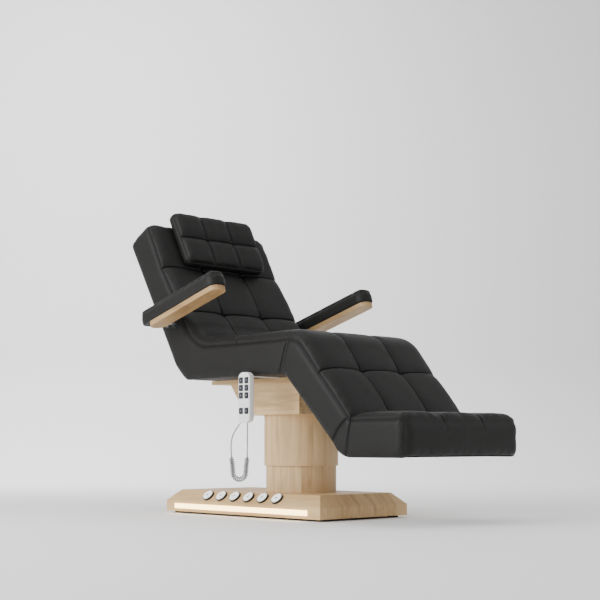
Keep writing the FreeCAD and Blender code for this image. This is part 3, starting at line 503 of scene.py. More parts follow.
# one sheet of paper: floor, soft sweep, wall
def paperSweep():
    clearSelection()
    bpy.ops.mesh.primitive_plane_add(size=1)
    sheet = newest("studio_paper_sweep")
    movePoints(sheet, points(sheet) * (studio["wide"], studio["near"] + studio["far"], 1)
               + (0, (studio["far"] - studio["near"]) / 2, 0))
    ends = points(sheet)
    rim = [e.index for e in sheet.data.edges if min(ends[v][1] for v in e.vertices) > studio["far"] - 0.01]
    selectOnly(sheet, edges=rim)
    bpy.ops.mesh.extrude_region_move(TRANSFORM_OT_translate={"value": (0, 0, studio["high"])})
    leaveEdit()
    ends = points(sheet)
    fold = [e.index for e in sheet.data.edges
            if all(abs(ends[v][1] - studio["far"]) < 0.01 and abs(ends[v][2]) < 0.01 for v in e.vertices)]
    selectOnly(sheet, edges=fold)
    bpy.ops.mesh.bevel(offset=studio["sweep"], segments=studio["sweepCuts"], affect="EDGES")
    leaveEdit()
    turn = math.radians(studio["turn"])
    flat = points(sheet)
    x, y = flat[:, 0].copy(), flat[:, 1].copy()
    flat[:, 0] = x * math.cos(turn) - y * math.sin(turn)
    flat[:, 1] = x * math.sin(turn) + y * math.cos(turn)
    movePoints(sheet, flat)
    smoothBelow(sheet, 40)
    paper = Finish("studio_paper")
    where = paper.place()
    tooth = paper.noise(where, 3.0, 3.0, 0.5)
    parts = paper.add("ShaderNodeSeparateXYZ", {}, {"Vector": where}, out=2)
    # painted shade: the paper is painted near white on the floor and greyer up the wall
    shade = paper.ramp(parts * 0.5 + tooth * 0.04,
                       (0.02, (0.985, 0.985, 0.985)), (0.6, (0.79, 0.79, 0.79)))
    paper.set(Base_Color=shade, Roughness=0.8 + tooth * 0.05)
    wear(sheet, paper.material)


paperSweep()

world = bpy.data.worlds.new("studio")
bpy.context.scene.world = world
world.use_nodes = True
sky = world.node_tree.nodes["Background"]
sky.inputs["Color"].default_value = (*studio["sky"], 1)
sky.inputs["Strength"].default_value = studio["skyStrength"]

lamps = {
    "leftSoft": dict(place=(-0.9, -4.6, 2.3), size=3.2, power=250, aim=(0.0, 0.0, 0.6)),
    "topSoft": dict(place=(0.2, -0.9, 4.6), size=4.0, power=60, aim=(0.0, 0.0, 0.4)),
    "rightSoft": dict(place=(4.2, 2.6, 2.4), size=2.4, power=26, aim=(0.2, 0.0, 0.5)),
    "wallSoft": dict(place=(-4.2, 0.6, 4.4), size=4.0, power=440, aim=(-7.5, 4.2, 1.6)),
}
for name, lamp in lamps.items():
    way = Vector(lamp["aim"]) - Vector(lamp["place"])
    bpy.ops.object.light_add(
        type="AREA", location=lamp["place"], rotation=way.to_track_quat("-Z", "Y").to_euler())
    light = bpy.context.object
    light.name = name
    light.data.size = lamp["size"]
    light.data.energy = lamp["power"]
print("camera and studio set")


# curly cord of the hand control
cord = {
    "thick": 0.005, "curls": 25, "curlRadius": 0.008, "perCurl": 14, "ease": 1.5, "straight": 0.005,
    "handset": [(-50.04, -346, 369.96), (-66, -346, 354), (-84, -346, 336), (-96, -345.8, 315),
                (-101.5, -345.5, 292), (-101, -345.2, 270), (-100, -345, 250)],
    "socket": [(-47, -309, 250), (-47, -309, 280), (-50.5, -305, 316), (-59, -297, 360), (-71, -288.5, 412),
               (-80, -282.5, 462), (-84, -280, 502), (-84, -280, 537)],
    "loopMiddle": (-73.5, -327, 180), "loopBend": 26,
    "bendHalf": 22.5, "bendTurns": (-67.5, -22.5, 22.5, 67.5), "drop": 0.012, "fall": 0.040, "inward": 0.005,
}


def route(name, places):
    curve = bpy.data.curves.new(name, "CURVE")
    curve.dimensions = "3D"
    spline = curve.splines.new("NURBS")
    spline.points.add(len(places) - 1)
    for point, place in zip(spline.points, places):
        point.co = (*place, 1)
    spline.order_u = 3
    spline.use_endpoint_u = True
    spline.resolution_u = 6
    obj = bpy.data.objects.new(name, curve)
    bpy.context.scene.collection.objects.link(obj)
    return obj


def traced(obj):
    line = bpy.data.meshes.new_from_object(obj)
    places = np.array([v.co for v in line.vertices])
    bpy.data.meshes.remove(line)
    return places


def curlyCord():
    start = np.array(cord["handset"][-1], float) * mm
    end = np.array(cord["socket"][0], float) * mm
    middle = np.array(cord["loopMiddle"], float) * mm
    across = (end - start) / np.linalg.norm(end - start)
    up = np.array((0, 0, 1.0))
    reach = cord["loopBend"] * mm / math.cos(math.radians(cord["bendHalf"]))
    bend = []
    for degrees in cord["bendTurns"]:
        angle = math.radians(degrees)
        bend.append(middle + across * reach * math.sin(angle) - up * reach * math.cos(angle))
    inward, fall, drop = across * cord["inward"], up * cord["fall"], up * cord["drop"]
    line = [start, start - drop, start + (inward - fall), *bend, end + (-inward - fall), end - drop, end]
    guide = route("coil_guide", line)
    guide.data.splines[0].resolution_u = 40
    spine = traced(guide)
    bpy.data.objects.remove(guide)
    steps = np.linalg.norm(np.diff(spine, axis=0), axis=1)
    far = np.concatenate([[0], np.cumsum(steps)])
    count = cord["curls"] * cord["perCurl"]
    lead = cord["straight"]
    where = np.linspace(lead, far[-1] - lead, count + 1)
    middle = np.stack([np.interp(where, far, spine[:, k]) for k in range(3)], 1)
    way = np.gradient(middle, axis=0)
    way /= np.linalg.norm(way, axis=1)[:, None]
    side = np.cross(across, up)
    other = np.cross(way, side)
    turn = np.linspace(0, 2 * math.pi * cord["curls"], count + 1)
    grow = np.clip(np.minimum(turn, turn[-1] - turn) / (2 * math.pi * cord["ease"]), 0, 1)
    radius = cord["curlRadius"] * grow * grow * (3 - 2 * grow)
    curl = middle + (side * np.cos(turn)[:, None] + other * np.sin(turn)[:, None]) * radius[:, None]
    first = [np.array(p, float) * mm for p in cord["handset"]]
    last = [np.array(p, float) * mm for p in cord["socket"]]
    whole = route("cord_run", first + list(curl[1:-1]) + last)
    path = traced(whole)
    length = np.linalg.norm(np.diff(path, axis=0), axis=1).sum()
    whole.data.bevel_depth = cord["thick"] / 2
    whole.data.bevel_resolution = 3
    whole.data.use_fill_caps = True
    whole.data.splines[0].resolution_u = 3
    takeUp(whole)
    bpy.ops.object.convert(target="MESH")
    piece = newest("curly_cord")
    smoothBelow(piece, 60)
    wear(piece, finishes["cordGrey"])
    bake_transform(piece)
    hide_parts("cord_lead_handset", "cord_coil", "cord_lead_socket")
    print("curly cord", round(float(length), 3), "m")


curlyCord()


# hand control: soft-edged shell with a pocket for each key
handset = {"corner": 23, "cornerCuts": 10, "front": 4.5, "rear": 9, "edgeCuts": 5, "play": 0.4, "over": 2.0,
           "travel": 2.5, "keys": 8}


def alongAxis(obj, axis):
    ends = points(obj)
    return [e.index for e in obj.data.edges
            if abs(ends[e.vertices[0]][axis] - ends[e.vertices[1]][axis]) > 0.002]


def rimAt(obj, level):
    ends = points(obj)
    return [e.index for e in obj.data.edges if all(abs(ends[v][1] - level) < 1e-5 for v in e.vertices)]


def fitBox(name, low, high):
    clearSelection()
    bpy.ops.mesh.primitive_cube_add(size=1)
    obj = newest(name)
    movePoints(obj, (points(obj) + 0.5) * (high - low) + low)
    return obj


def handShell():
    h = handset
    corners = np.array([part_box(n) for n in ("handset_front_shell", "handset_rear_shell")])
    low, high = corners[:, 0].min(axis=0), corners[:, 1].max(axis=0)
    shell = fitBox("handset_shell", low, high)
    selectOnly(shell, edges=alongAxis(shell, 1))
    bpy.ops.mesh.bevel(offset=h["corner"] * mm, segments=h["cornerCuts"], affect="EDGES")
    leaveEdit()
    for level, width in ((low[1], h["front"]), (high[1], h["rear"])):
        selectOnly(shell, edges=rimAt(shell, level))
        bpy.ops.mesh.bevel(offset=width * mm, segments=h["edgeCuts"], affect="EDGES")
        leaveEdit()
    for n in range(1, h["keys"] + 1):
        keyLow, keyHigh = [np.array(corner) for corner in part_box("handset_button_%d" % n)]
        play = np.array((h["play"], h["over"], h["play"])) * mm
        pocket = fitBox("key_pocket", keyLow - play, keyHigh + play + (0, h["travel"] * mm, 0))
        hole = shell.modifiers.new("hole", "BOOLEAN")
        hole.operation = "DIFFERENCE"
        hole.solver = "EXACT"
        hole.object = pocket
        applyModifiers(shell)
        bpy.data.objects.remove(pocket)
    smoothBelow(shell, 35)
    wear(shell, finishes["whitePlastic"])
    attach(shell, "handset")
    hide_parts("handset_front_shell", "handset_rear_shell")


handShell()
print("hand control shell made")


# upholstered body: one long cover from head to foot, cut at the bends afterwards
cover = {
    "half": 325, "edge": 7, "lowEdge": 14, "dip": 9, "arch": 9, "roll": 40, "shoulder": 62,
    "backShoulder": 42, "endShoulder": 48, "endRoll": 40, "flank": 45, "sideRoll": 16, "tuck": 20,
    "thread": 1.7, "bunch": 0.74, "sidePuff": 3.5, "endPuff": 7, "endBand": 60, "rimPuff": 5,
    "crossSink": 5.0, "seamSink": 6.0, "sideSink": 3.5, "step": 10.5, "columns": 24, "deep": 12,
    "hollowSteps": 20, "kneeSteps": 10, "creaseSteps": 12,
    "backHinge": (-419, 651), "kneeHinge": (199, 586), "footHinge": (506.8, 346.3),
    "backAngle": 62.4, "legAngle": 47.5, "backLong": 637, "backRim": 16, "backRows": (409, 171), "backLow": 5,
    "backRear": 74, "backTaper": 0.048, "faceUp": 35, "faceLean": 26,
    "heelDraw": 9, "heelDeep": 96, "heelShift": ((-2.3, 4.4), (7, 0)),
    "seatTop": 686, "seatLow": 555, "seatRow": -97, "seatEnd": (194.8, 150.6),
    "fillet": 150, "filletAt": 98.5,
    "gussetLow": 168.3, "gussetTurn": 0.075, "gussetLean": 0.05, "gussetLap": (0.2, -0.2),
    "legFace": 100, "legRear": 23, "legTaper": 0.04, "legLong": 370, "legGap": 7, "legRow": 134,
    "legEnd": 358.6, "legBow": (-9, 5), "creaseAt": 369.3, "calfShare": 0.83, "calfDeep": 92,
    "footStart": (528, 507), "footEnd": 782.8, "footTip": 15, "footLow": 244.5, "footTop": 381.3,
    "footDeep": 90, "footDeeper": 11.8, "headRound": 40, "footRound": 40, "headEdges": (22, 44),
    "footEdges": (34, 26), "pocketHalf": 288, "pocket": 42, "seatPocket": 70,
    "puffs": {"head": 24, "rowTwo": 29, "rowOne": 40, "hollow": 50, "seat": 48, "seatRow": 41, "bend": 41,
              "legStart": 41, "legRow": 35, "legEnd": 27, "crease": 17, "foot": 28},
}


def spot(hinge, angle, along, out):
    a = math.radians(angle)
    return np.array((hinge[0] + along * math.cos(a) + out * math.sin(a),
                     hinge[1] - along * math.sin(a) + out * math.cos(a)))


# even steps drawn together towards both ends, where the seams are
def bunched(t):
    return t - cover["bunch"] * np.sin(2 * math.pi * t) / (2 * math.pi)


def layStations():
    c = cover
    p = c["puffs"]
    rows = []
    none = np.zeros(2)

    def lay(piece, top, low, puff, lean, bow=none, pocket=0, seam=False, sideSeam=False):
        up = np.array((math.sin(lean), math.cos(lean)))
        rows.append(dict(piece=piece, top=top, low=low, bow=bow, puff=puff, up=up, pocket=pocket, seam=seam,
                         sideSeam=sideSeam))

    def stretch(piece, first, last, puffs, lean, pocket=0, seam=False, sideSeam=False):
        top0, low0, bow0 = first
        top1, low1, bow1 = last
        count = max(2, round(np.linalg.norm(np.subtract(top1, top0)) / c["step"]))
        for k in range(1, count + 1):
            t = bunched(k / count)
            puff = puffs[0] + (puffs[1] - puffs[0]) * t
            lay(piece, top0 + (top1 - top0) * t, low0 + (low1 - low0) * t, puff, lean,
                bow0 + (bow1 - bow0) * t, pocket, seam and k == count, sideSeam and k == count)

    def backAt(topU, lowU):
        a, rear = c["backHinge"], c["backRear"] + c["backTaper"] * lowU
        lean = min(1, max(0, (rowTwo - topU) / (rowTwo - c["filletAt"])))
        face = c["faceUp"] + c["faceLean"] * lean
        return spot(a, c["backAngle"], -topU, face), spot(a, c["backAngle"], -lowU, -rear), none

    def seatAt(topX, lowX):
        return np.array((topX, c["seatTop"])), np.array((lowX, c["seatLow"])), none

    def legAt(topU, lowU, bow=none):
        b = c["kneeHinge"]
        top = spot(b, c["legAngle"], topU, c["legFace"])
        rear = c["legRear"] + c["legTaper"] * (c["legLong"] - lowU)
        return top, spot(b, c["legAngle"], lowU, -rear), np.array(bow, float)

    def footAt(topX, lowX):
        return np.array((topX, c["footTop"])), np.array((lowX, c["footLow"])), none

    backLean, legLean = math.radians(c["backAngle"]), math.radians(c["legAngle"])
    long, (rowTwo, rowOne) = c["backLong"], c["backRows"]
    head, rim = backAt(long, long), backAt(long - c["backRim"], long - c["backRim"])
    two, one = backAt(rowTwo, rowTwo), backAt(rowOne, rowOne)
    lay("back", head[0], head[1], p["head"], backLean)
    stretch("back", head, rim, (p["head"], p["head"]), backLean)
    stretch("back", rim, two, (p["head"], p["rowTwo"]), backLean, c["pocket"], seam=True)
    stretch("back", two, one, (p["rowTwo"], p["rowOne"]), backLean, c["pocket"], seam=True)
    lowest = backAt(c["filletAt"], c["backLow"])
    stretch("back", one, lowest, (p["rowOne"], p["hollow"]), backLean, c["pocket"])
    # hollow between back and seat
    middle = spot(c["backHinge"], c["backAngle"], -c["filletAt"], c["faceUp"] + c["faceLean"] + c["fillet"])
    above, below = c["heelShift"]
    for k in range(1, c["hollowSteps"] + 1):
        t = k / c["hollowSteps"]
        a = math.radians(c["backAngle"] * (1 - t))
        out = np.array((math.sin(a), math.cos(a)))
        deep = c["backRear"] * (1 - t) + c["heelDeep"] * t - c["heelDraw"] * math.sin(math.pi * t)
        shift = np.array((above[0] * (1 - t) + below[0] * t, above[1] * (1 - t) + below[1] * t))
        low = np.array(c["backHinge"]) - out * deep + shift
        lay("backBend", middle - out * c["fillet"], low, p["hollow"] + (p["seat"] - p["hollow"]) * t, a)
    hollowEnd = (rows[-1]["top"], rows[-1]["low"], none)
    seatRow, seatEnd = seatAt(c["seatRow"], c["seatRow"]), seatAt(*c["seatEnd"])
    stretch("seat", hollowEnd, seatRow, (p["seat"], p["seatRow"]), 0, c["seatPocket"], seam=True)
    stretch("seat", seatRow, seatEnd, (p["seatRow"], p["bend"]), 0, c["seatPocket"], sideSeam=True)

    # round of the knee, with the narrow gusset between two seams
    def kneeAt(angle):
        return np.array(c["kneeHinge"], float) + c["legFace"] * np.array((math.sin(angle), math.cos(angle)))

    turn = c["gussetTurn"]
    last = (kneeAt(turn), np.array((c["gussetLow"], c["seatLow"])), none)
    stretch("thighBend", seatEnd, last, (p["bend"], p["bend"]), c["gussetLean"], sideSeam=True)
    legStart, legRow = legAt(c["legGap"], c["legGap"]), legAt(c["legRow"], c["legRow"])
    for k in range(1, c["kneeSteps"] + 1):
        t = k / c["kneeSteps"]
        a = turn + (legLean - turn) * t
        lay("thighBend", kneeAt(a), last[1] + (legStart[1] - last[1]) * t,
            p["bend"] + (p["legStart"] - p["bend"]) * t, a)
    lay("thighBend", legStart[0], legStart[1] + c["gussetLap"], p["legStart"], legLean)
    legEnd = legAt(c["legEnd"], c["legLong"], c["legBow"])
    stretch("leg", legStart, legRow, (p["legStart"], p["legRow"]), legLean, c["pocket"], seam=True)
    stretch("leg", legRow, legEnd, (p["legRow"], p["legEnd"]), legLean, c["pocket"], sideSeam=True)
    # crease at the foot section
    crease = legAt(c["creaseAt"], c["legLong"])[0]
    footStart = footAt(*c["footStart"])
    h = np.array(c["footHinge"])
    calf = spot(h, c["legAngle"] * c["calfShare"], 0, -c["calfDeep"])
    half = c["creaseSteps"] // 2
    for k in range(1, c["creaseSteps"] + 1):
        t = k / c["creaseSteps"]
        a = math.radians(c["legAngle"] * (1 - t))
        low = h - np.array((math.sin(a), math.cos(a))) * (c["footDeep"] + c["footDeeper"] * t)
        # the first two rows lead from the leg's lower edge to the round
        if k < 3:
            low = legEnd[1] + (calf - legEnd[1]) * (k / 2)
        top = legEnd[0] + (crease - legEnd[0]) * (k / half)
        puff = p["legEnd"] + (p["crease"] - p["legEnd"]) * (k / half)
        if k > half:
            top = crease + (footStart[0] - crease) * (k / half - 1)
            puff = p["crease"] + (p["foot"] - p["crease"]) * (k / half - 1)
        lay("kneeBend", top, low, puff, a, legEnd[2] * (1 - t), seam=k == half, sideSeam=k == 2 * half)
    end = c["footEnd"]
    tip = footAt(end - c["footTip"], end - c["footTip"])
    stretch("foot", footStart, tip, (p["foot"], p["foot"]), 0, c["pocket"])
    stretch("foot", tip, footAt(end, end), (p["foot"], p["foot"]), 0)
    return rows


def upholster():
    c = cover
    rows = layStations()

    def listed(key):
        return np.array([r[key] for r in rows], float)

    tops, lows, bows = listed("top"), listed("low"), listed("bow")
    along = np.concatenate([[0], np.cumsum(np.linalg.norm(np.diff(tops, axis=0), axis=1))])
    across = c["columns"] * 3
    body = gridBox("cover_whole", (len(rows) - 1, across, c["deep"]))
    unit = points(body) + 0.5
    i = np.round(unit[:, 0] * (len(rows) - 1)).astype(int)
    j = np.round(unit[:, 1] * across).astype(int)
    k = np.round(unit[:, 2] * c["deep"]).astype(int)
    s = along[i]
    tile = j / c["columns"]
    y = ((np.floor(tile) + bunched(tile - np.floor(tile))) / 1.5 - 1) * c["half"]
    thick = np.linalg.norm(tops - lows, axis=1)[i]
    depth = (1 - k / c["deep"]) * thick
    isTop = k == c["deep"]
    isLow = k == 0
    isSide = (j == 0) | (j == across)
    onFlank = isSide & ~isTop & ~isLow
    isEnd = (i == 0) | (i == len(rows) - 1)
    inY = c["half"] - np.abs(y)

    # rounded ends, then the rounded long edges
    headIn, footIn = s.copy(), along[-1] - s
    newDepth, newIn = depth.copy(), inY.copy()
    ends = ((0, c["headRound"], *c["headEdges"]), (1, c["footRound"], *c["footEdges"]))
    for end, plan, front, rear in ends:
        e = headIn if end == 0 else footIn
        e, newDepth = roundCorner(e, newDepth, front)
        e, rise = roundCorner(e, thick - newDepth, rear)
        newDepth = thick - rise
        e, newIn = roundCorner(e, newIn, plan)
        if end == 0:
            headIn = e
        else:
            footIn = e
    newIn, newDepth = roundCorner(newIn, newDepth, c["edge"])
    newIn, rise = roundCorner(newIn, thick - newDepth, c["lowEdge"])
    newDepth = thick - rise
    near = s < along[-1] / 2
    sNew = np.where(near, headIn, along[-1] - footIn)
    yNew = np.sign(y) * (c["half"] - newIn)
    # hollow under the pads where the frames sit
    hollow = listed("pocket")[i]
    newDepth = np.where(isLow & (np.abs(y) < c["pocketHalf"]), newDepth - hollow, newDepth)

    t = 1 - newDepth / thick
    top = np.stack([np.interp(sNew, along, tops[:, n]) for n in range(2)], 1)
    low = np.stack([np.interp(sNew, along, lows[:, n]) for n in range(2)], 1)
    bow = bows[i] * (4 * t * (1 - t))[:, None]
    side = low + (top - low) * t[:, None] + bow

    # the foam's own shoulder, from the edge seams up to the level of the inner seams
    seamAt = along[[n for n, r in enumerate(rows) if r["seam"]]]
    sideAt = along[[n for n, r in enumerate(rows) if r["sideSeam"]]]
    toCross = np.min(np.abs(s[:, None] - seamAt[None, :]), axis=1)
    toInner = np.abs(np.abs(y) - c["half"] / 3)
    toColumn = np.minimum(toInner, inY)
    toEnd = np.minimum(s, along[-1] - s)
    toTop = np.minimum(toColumn, toCross)
    puff = listed("puff")[i]
    # the seams themselves arch up between the crossings
    crossAt = np.concatenate([[0], seamAt, [along[-1]]])
    cell = np.clip(np.searchsorted(crossAt, s, side="right") - 1, 0, len(crossAt) - 2)
    partS = np.sin(math.pi * (s - crossAt[cell]) / (crossAt[cell + 1] - crossAt[cell]))
    partY = np.abs(np.sin(math.pi * (y / c["half"] + 1) * 1.5))
    arch = c["arch"] * (partY + partS - partY * partS)
    onBack = np.array([r["piece"] in ("back", "backBend") for r in rows])[i]
    wide = np.where(onBack, c["backShoulder"], c["shoulder"])
    rim = swellAt(inY, wide) * swellAt(toEnd + 3, c["endShoulder"])
    shoulder = (puff - c["dip"] - c["arch"] + arch) * rim
    out = listed("up")[i]
    side = side + out * np.where(isTop, shoulder, 0)[:, None]
    movePoints(body, np.stack([side[:, 0], yNew, side[:, 1]], 1) * mm)

    # how far each point may swell, from its distance to the nearest seam
    face = swellAt(toColumn, c["roll"]) * swellAt(toCross, c["roll"]) * swellAt(toEnd + 8, c["endRoll"])
    tuck = np.exp(-((toInner ** 2 + toCross ** 2) / c["tuck"] ** 2))
    toSide = np.min(np.abs(s[:, None] - sideAt[None, :]), axis=1)
    band = np.minimum(depth, thick - depth)
    flank = swellAt(band, c["flank"]) * swellAt(toSide, c["sideRoll"])
    swell = np.zeros(len(s))
    swell = np.where(isTop, c["dip"] * face, swell)
    swell = np.where(onFlank, c["sidePuff"] * flank, swell)
    endFill = c["endPuff"] * swellAt(np.minimum(band, inY), c["endBand"])
    swell = np.where(isEnd & ~isTop & ~isLow & ~isSide, endFill, swell)
    swell = np.where(isEnd & isTop, np.minimum(swell, c["rimPuff"]), swell)
    held = np.where(isTop & (toTop < 1.5), 1.0, 0.0)
    held = np.where(isLow, 1.0, held)
    held = np.where(isSide & (toSide < 1), 1.0, held)
    pull = np.where(isTop, np.exp(-toTop / 9) * 0.8 + tuck * 0.5, 0)
    pull = np.where(isSide & ~isTop, np.maximum(np.exp(-toSide / 5), np.exp(-depth / 5) * 0.7), pull)
    tag(body, "pull", np.clip(pull, 0, 1))
    # dark seam lines for the leather: the thread and painted shade in the grooves, full at the inner seams,
    # half at the edge and side seams
    inner = np.minimum(toInner, toCross)
    w = c["thread"]
    thread = np.where(isTop, np.maximum(np.exp(-(inner / w) ** 2), 0.5 * np.exp(-(inY / w) ** 2)), 0)
    thread = np.where(onFlank, 0.5 * np.exp(-(toSide / w) ** 2), thread)
    tag(body, "thread", np.clip(thread, 0, 1))
    tag(body, "along", s)
    paintCut(body, s, y, depth, isTop, c["half"])
    inflate(body, held, swell * mm)

    # threads pull the crossings in, and each seam a little
    places = points(body)
    normals = np.array([v.normal for v in body.data.vertices])
    sink = np.where(isTop, c["crossSink"] * tuck + c["seamSink"] * (toTop < 1), 0)
    sink = np.where(onFlank & (toSide < 1), c["sideSink"], sink)
    movePoints(body, places - normals * (sink * mm)[:, None])
    refine(body)
    return body, rows, along


def closeCut(part, level):
    bpy.ops.object.mode_set(mode="EDIT")
    bpy.ops.mesh.select_mode(type="EDGE")
    bpy.ops.mesh.select_all(action="DESELECT")
    bpy.ops.mesh.select_non_manifold()
    leaveEdit()
    where = np.zeros(len(part.data.vertices))
    part.data.attributes["along"].data.foreach_get("value", where)
    rim = [e.index for e in part.data.edges if e.select and abs(where[e.vertices[0]] - level) < 1]
    if rim:
        selectOnly(part, edges=rim)
        bpy.ops.mesh.fill()
        leaveEdit()


# the cover is parted at the bends, and each part closed
def partCover(body, rows, along):
    names = {"back": "back_pad", "backBend": "back_bend", "seat": "seat_pad", "thighBend": "thigh_bend",
             "leg": "leg_pad", "kneeBend": "foot_bend", "foot": "foot_pad"}
    order = [r["piece"] for r in rows]
    made = {}
    for piece, name in names.items():
        last = max(n for n, p in enumerate(order) if p == piece)
        first = min(n for n, p in enumerate(order) if p == piece) - 1
        low, high = along[max(first, 0)], along[last]
        part = body.copy()
        part.data = body.data.copy()
        part.name = name
        part.data.name = name
        bpy.context.scene.collection.objects.link(part)
        where = np.zeros(len(part.data.vertices))
        part.data.attributes["along"].data.foreach_get("value", where)
        away = []
        for face in part.data.polygons:
            middle = np.mean(where[list(face.vertices)])
            if middle < low - 1e-3 or middle > high + 1e-3:
                away.append(face.index)
        selectOnly(part, faces=away)
        bpy.ops.mesh.delete(type="FACE")
        for level in (low, high):
            closeCut(part, level)
        bpy.ops.object.mode_set(mode="EDIT")
        bpy.ops.mesh.select_all(action="SELECT")
        bpy.ops.mesh.normals_make_consistent(inside=False)
        leaveEdit()
        part.data.attributes.remove(part.data.attributes["along"])
        smoothBelow(part, 55)
        wear(part, leather)
        made[piece] = part
    bpy.data.objects.remove(body)
    return made


whole, stationRows, stationAlong = upholster()
pads = partCover(whole, stationRows, stationAlong)
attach(pads["back"], "back")
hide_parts("back_cushion")
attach(pads["seat"], "carriage")
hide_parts("seat_cushion")
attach(pads["leg"], "leg")
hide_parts("leg_cushion")
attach(pads["foot"], "foot")
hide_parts("foot_cushion")
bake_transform(pads["backBend"])
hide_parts("back_gusset")
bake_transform(pads["thighBend"])
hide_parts("thigh_gusset")
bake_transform(pads["kneeBend"])
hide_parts("knee_gusset")
print("cover made and parted into", len(pads), "pads")


# head pillow, three tiles by two
pillow = {"low": 413, "high": 667, "half": 217, "back": 62.0, "side": 100, "front": 121, "round": 30,
          "counts": (34, 54, 7), "frontEdge": 10, "rearEdge": 5, "roll": 46, "flank": 18, "sidePuff": 5,
          "tuck": 16, "thread": 1.7, "crossSink": 3.0, "seamSink": 0.8}


def headPillow():
    p = pillow
    piece = gridBox("head_pillow", p["counts"])
    unit = points(piece) + 0.5
    layers = p["counts"][2]
    k = np.round(unit[:, 2] * layers).astype(int)
    long = p["high"] - p["low"]
    along = (1 - unit[:, 0]) * long
    y = (unit[:, 1] * 2 - 1) * p["half"]
    thick = p["side"] - p["back"]
    depth = (1 - unit[:, 2]) * thick
    inY = p["half"] - np.abs(y)
    inX = np.minimum(along, long - along)
    toRow = np.minimum(np.abs(along - long / 2), inX)
    toColumn = np.minimum(np.abs(np.abs(y) - p["half"] / 3), inY)
    isTop, isLow = k == layers, k == 0
    newX, newY = roundCorner(inX, inY, p["round"])
    newX, newDepth = roundCorner(newX, depth, p["frontEdge"])
    newY, newDepth = roundCorner(newY, newDepth, p["frontEdge"])
    newX, rise = roundCorner(newX, thick - newDepth, p["rearEdge"])
    newY, rise = roundCorner(newY, rise, p["rearEdge"])
    newAlong = np.where(along < long / 2, newX, long - newX)
    places = []
    for u, side, out in zip(p["low"] + newAlong, np.sign(y) * (p["half"] - newY), p["back"] + rise):
        x, z = spot(cover["backHinge"], cover["backAngle"], -u, out)
        places.append((x, side, z))
    movePoints(piece, np.array(places) * mm)
    face = swellAt(toRow, p["roll"]) * swellAt(toColumn, p["roll"])
    flank = swellAt(np.minimum(depth, thick - depth), p["flank"])
    swell = np.where(isTop, (p["front"] - p["side"]) * face, np.where(isLow, 0, p["sidePuff"] * flank))
    tuck = np.exp(-((np.abs(np.abs(y) - p["half"] / 3) ** 2 + (along - long / 2) ** 2) / p["tuck"] ** 2))
    toSeam = np.minimum(toRow, toColumn)
    held = np.where((isTop & (toSeam < 1.5)) | isLow, 1.0, 0.0)
    tag(piece, "pull", np.clip(np.where(isTop, np.exp(-toSeam / 8) * 0.8 + tuck * 0.5, 0), 0, 1))
    # dark seam lines: the thread and painted shade in the grooves, weaker near the rim
    rim = np.minimum(inX, inY)
    w = p["thread"]
    line = np.maximum(np.exp(-(toRow / w) ** 2) * 0.8, np.exp(-(toColumn / w) ** 2) * 0.45)
    tag(piece, "thread", np.where(isTop, line * np.where(rim < 3, 0.6, 1), 0))
    paintCut(piece, along, y, depth, isTop, p["half"])
    inflate(piece, held, swell * mm)
    normals = np.array([v.normal for v in piece.data.vertices])
    sink = np.where(isTop, p["crossSink"] * tuck + p["seamSink"] * (toSeam < 1), 0)
    movePoints(piece, points(piece) - normals * (sink * mm)[:, None])
    refine(piece)
    smoothBelow(piece, 60)
    wear(piece, leather)
    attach(piece, "pillow")
    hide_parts("pillow_cushion")


headPillow()
print("pillow made")


# arm pads, rolled over their boards
armPad = {"rear": -65, "front": 421, "half": 41, "low": 10, "thick": 52, "puff": 12, "sidePuff": 1.5,
          "round": 38, "rearRound": 30, "endEdge": 24, "sideEdge": 20, "roll": 40, "counts": (64, 18, 8),
          "pivot": (-477.13, 417, 783.78), "pitch": 15.9}


def armPads():
    a = armPad
    for name, sign in (("right", -1), ("left", 1)):
        piece = gridBox("arm_pad_" + name, a["counts"])
        unit = points(piece) + 0.5
        long = a["front"] - a["rear"]
        along = unit[:, 0] * long
        y = (unit[:, 1] * 2 - 1) * a["half"]
        depth = (1 - unit[:, 2]) * a["thick"]
        inY = a["half"] - np.abs(y)
        inX = np.minimum(along, long - along)
        isTop, isLow = unit[:, 2] > 0.999, unit[:, 2] < 0.001
        radius = np.where(along > long / 2, a["round"], a["rearRound"])
        newX, newY = roundCorner(inX, inY, radius)
        newX, newDepth = roundCorner(newX, depth, a["endEdge"])
        newY, newDepth = roundCorner(newY, newDepth, a["sideEdge"])
        newAlong = np.where(along < long / 2, newX, long - newX)
        places = []
        outs = a["low"] + a["thick"] - newDepth
        for u, side, out in zip(a["rear"] + newAlong, np.sign(y) * (a["half"] - newY), outs):
            x, z = spot((a["pivot"][0], a["pivot"][2]), -a["pitch"], u, out)
            places.append((x, side + sign * a["pivot"][1], z))
        movePoints(piece, np.array(places) * mm)
        dome = a["puff"] * swellAt(np.minimum(inX, inY), a["roll"])
        swell = np.where(isTop, dome, np.where(isLow, 0, a["sidePuff"]))
        tag(piece, "pull", np.where(isLow, 0.4, 0))
        paintCut(piece, along, y, depth, isTop, a["half"])
        inflate(piece, np.where(isLow, 1.0, 0.0), swell * mm)
        refine(piece)
        smoothBelow(piece, 60)
        wear(piece, leather)
        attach(piece, "arm_" + name)
        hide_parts("arm_%s_pad" % name)


armPads()
print("arm pads made")

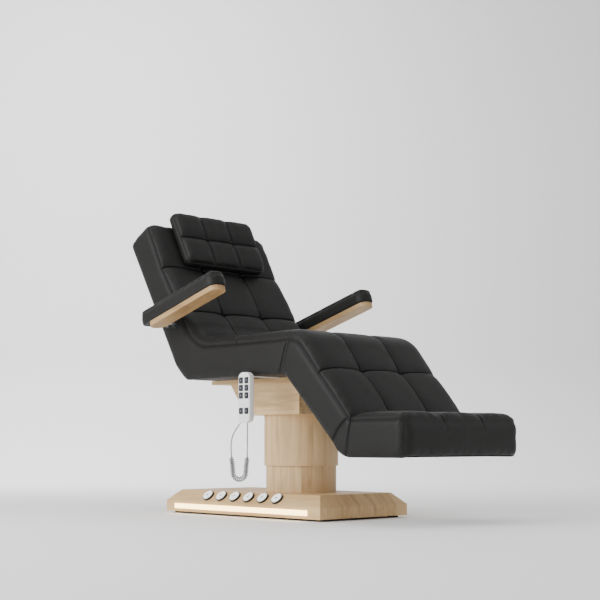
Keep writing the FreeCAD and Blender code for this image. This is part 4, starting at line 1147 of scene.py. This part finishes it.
# small arrows on the foot buttons and the keys
marks = {
    "foot": dict(count=6, out=(0, -0.69966, 0.71447), reach=7.0, finish="markGrey", slot="key_grey",
                 turns=(0, 180, 0, 180, 90, 270)),
    "handset": dict(count=8, out=(0, -1, 0), reach=3.2, finish="markPale", slot="white_plastic",
                    turns=(0, 180, 0, 180, 0, 180, 90, 270)),
}


# a flat arrow of unit size: three-sided head, and a shaft drawn out of its base
arrow = {"thick": 0.12, "inset": 0.04, "neck": (0.36, 1, 0.7), "shaft": 0.75, "soft": 0.05, "raise": 0.12}


def arrowMark(name):
    clearSelection()
    bpy.ops.mesh.primitive_cylinder_add(vertices=3, radius=1, depth=arrow["thick"])
    obj = newest(name)
    low = min(obj.data.polygons, key=lambda f: f.center.y)
    selectOnly(obj, faces=[low.index])
    bpy.ops.mesh.inset(thickness=arrow["inset"])
    bpy.ops.transform.resize(value=arrow["neck"])
    bpy.ops.mesh.extrude_region_move(TRANSFORM_OT_translate={"value": (0, -arrow["shaft"], 0)})
    leaveEdit()
    softened = obj.modifiers.new("softened", "BEVEL")
    softened.width = arrow["soft"]
    softened.segments = 2
    return applyModifiers(obj)


def markKeys():
    for kind, m in marks.items():
        out = np.array(m["out"], float)
        right = np.array((1.0, 0, 0))
        up = np.cross(out, right)
        for n in range(1, m["count"] + 1):
            body = "%s_button_%d" % (kind, n)
            key = points(nodes[body])
            middle = (key.min(axis=0) + key.max(axis=0)) / 2
            top = np.max((key - middle) @ out)
            mark = arrowMark("%s_arrow_%d" % (kind, n))
            shape = points(mark)
            shape[:, 1] += arrow["raise"]
            a = math.radians(m["turns"][n - 1])
            x = shape[:, 0] * math.cos(a) - shape[:, 1] * math.sin(a)
            y = shape[:, 0] * math.sin(a) + shape[:, 1] * math.cos(a)
            size = m["reach"] * mm
            flat = np.outer(x, right) + np.outer(y, up) + np.outer(shape[:, 2], out)
            movePoints(mark, middle + out * top + flat * size)
            smoothBelow(mark, 40)
            wear(mark, finishes[m["finish"]])
            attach(mark, body)


markKeys()
print("keys marked")
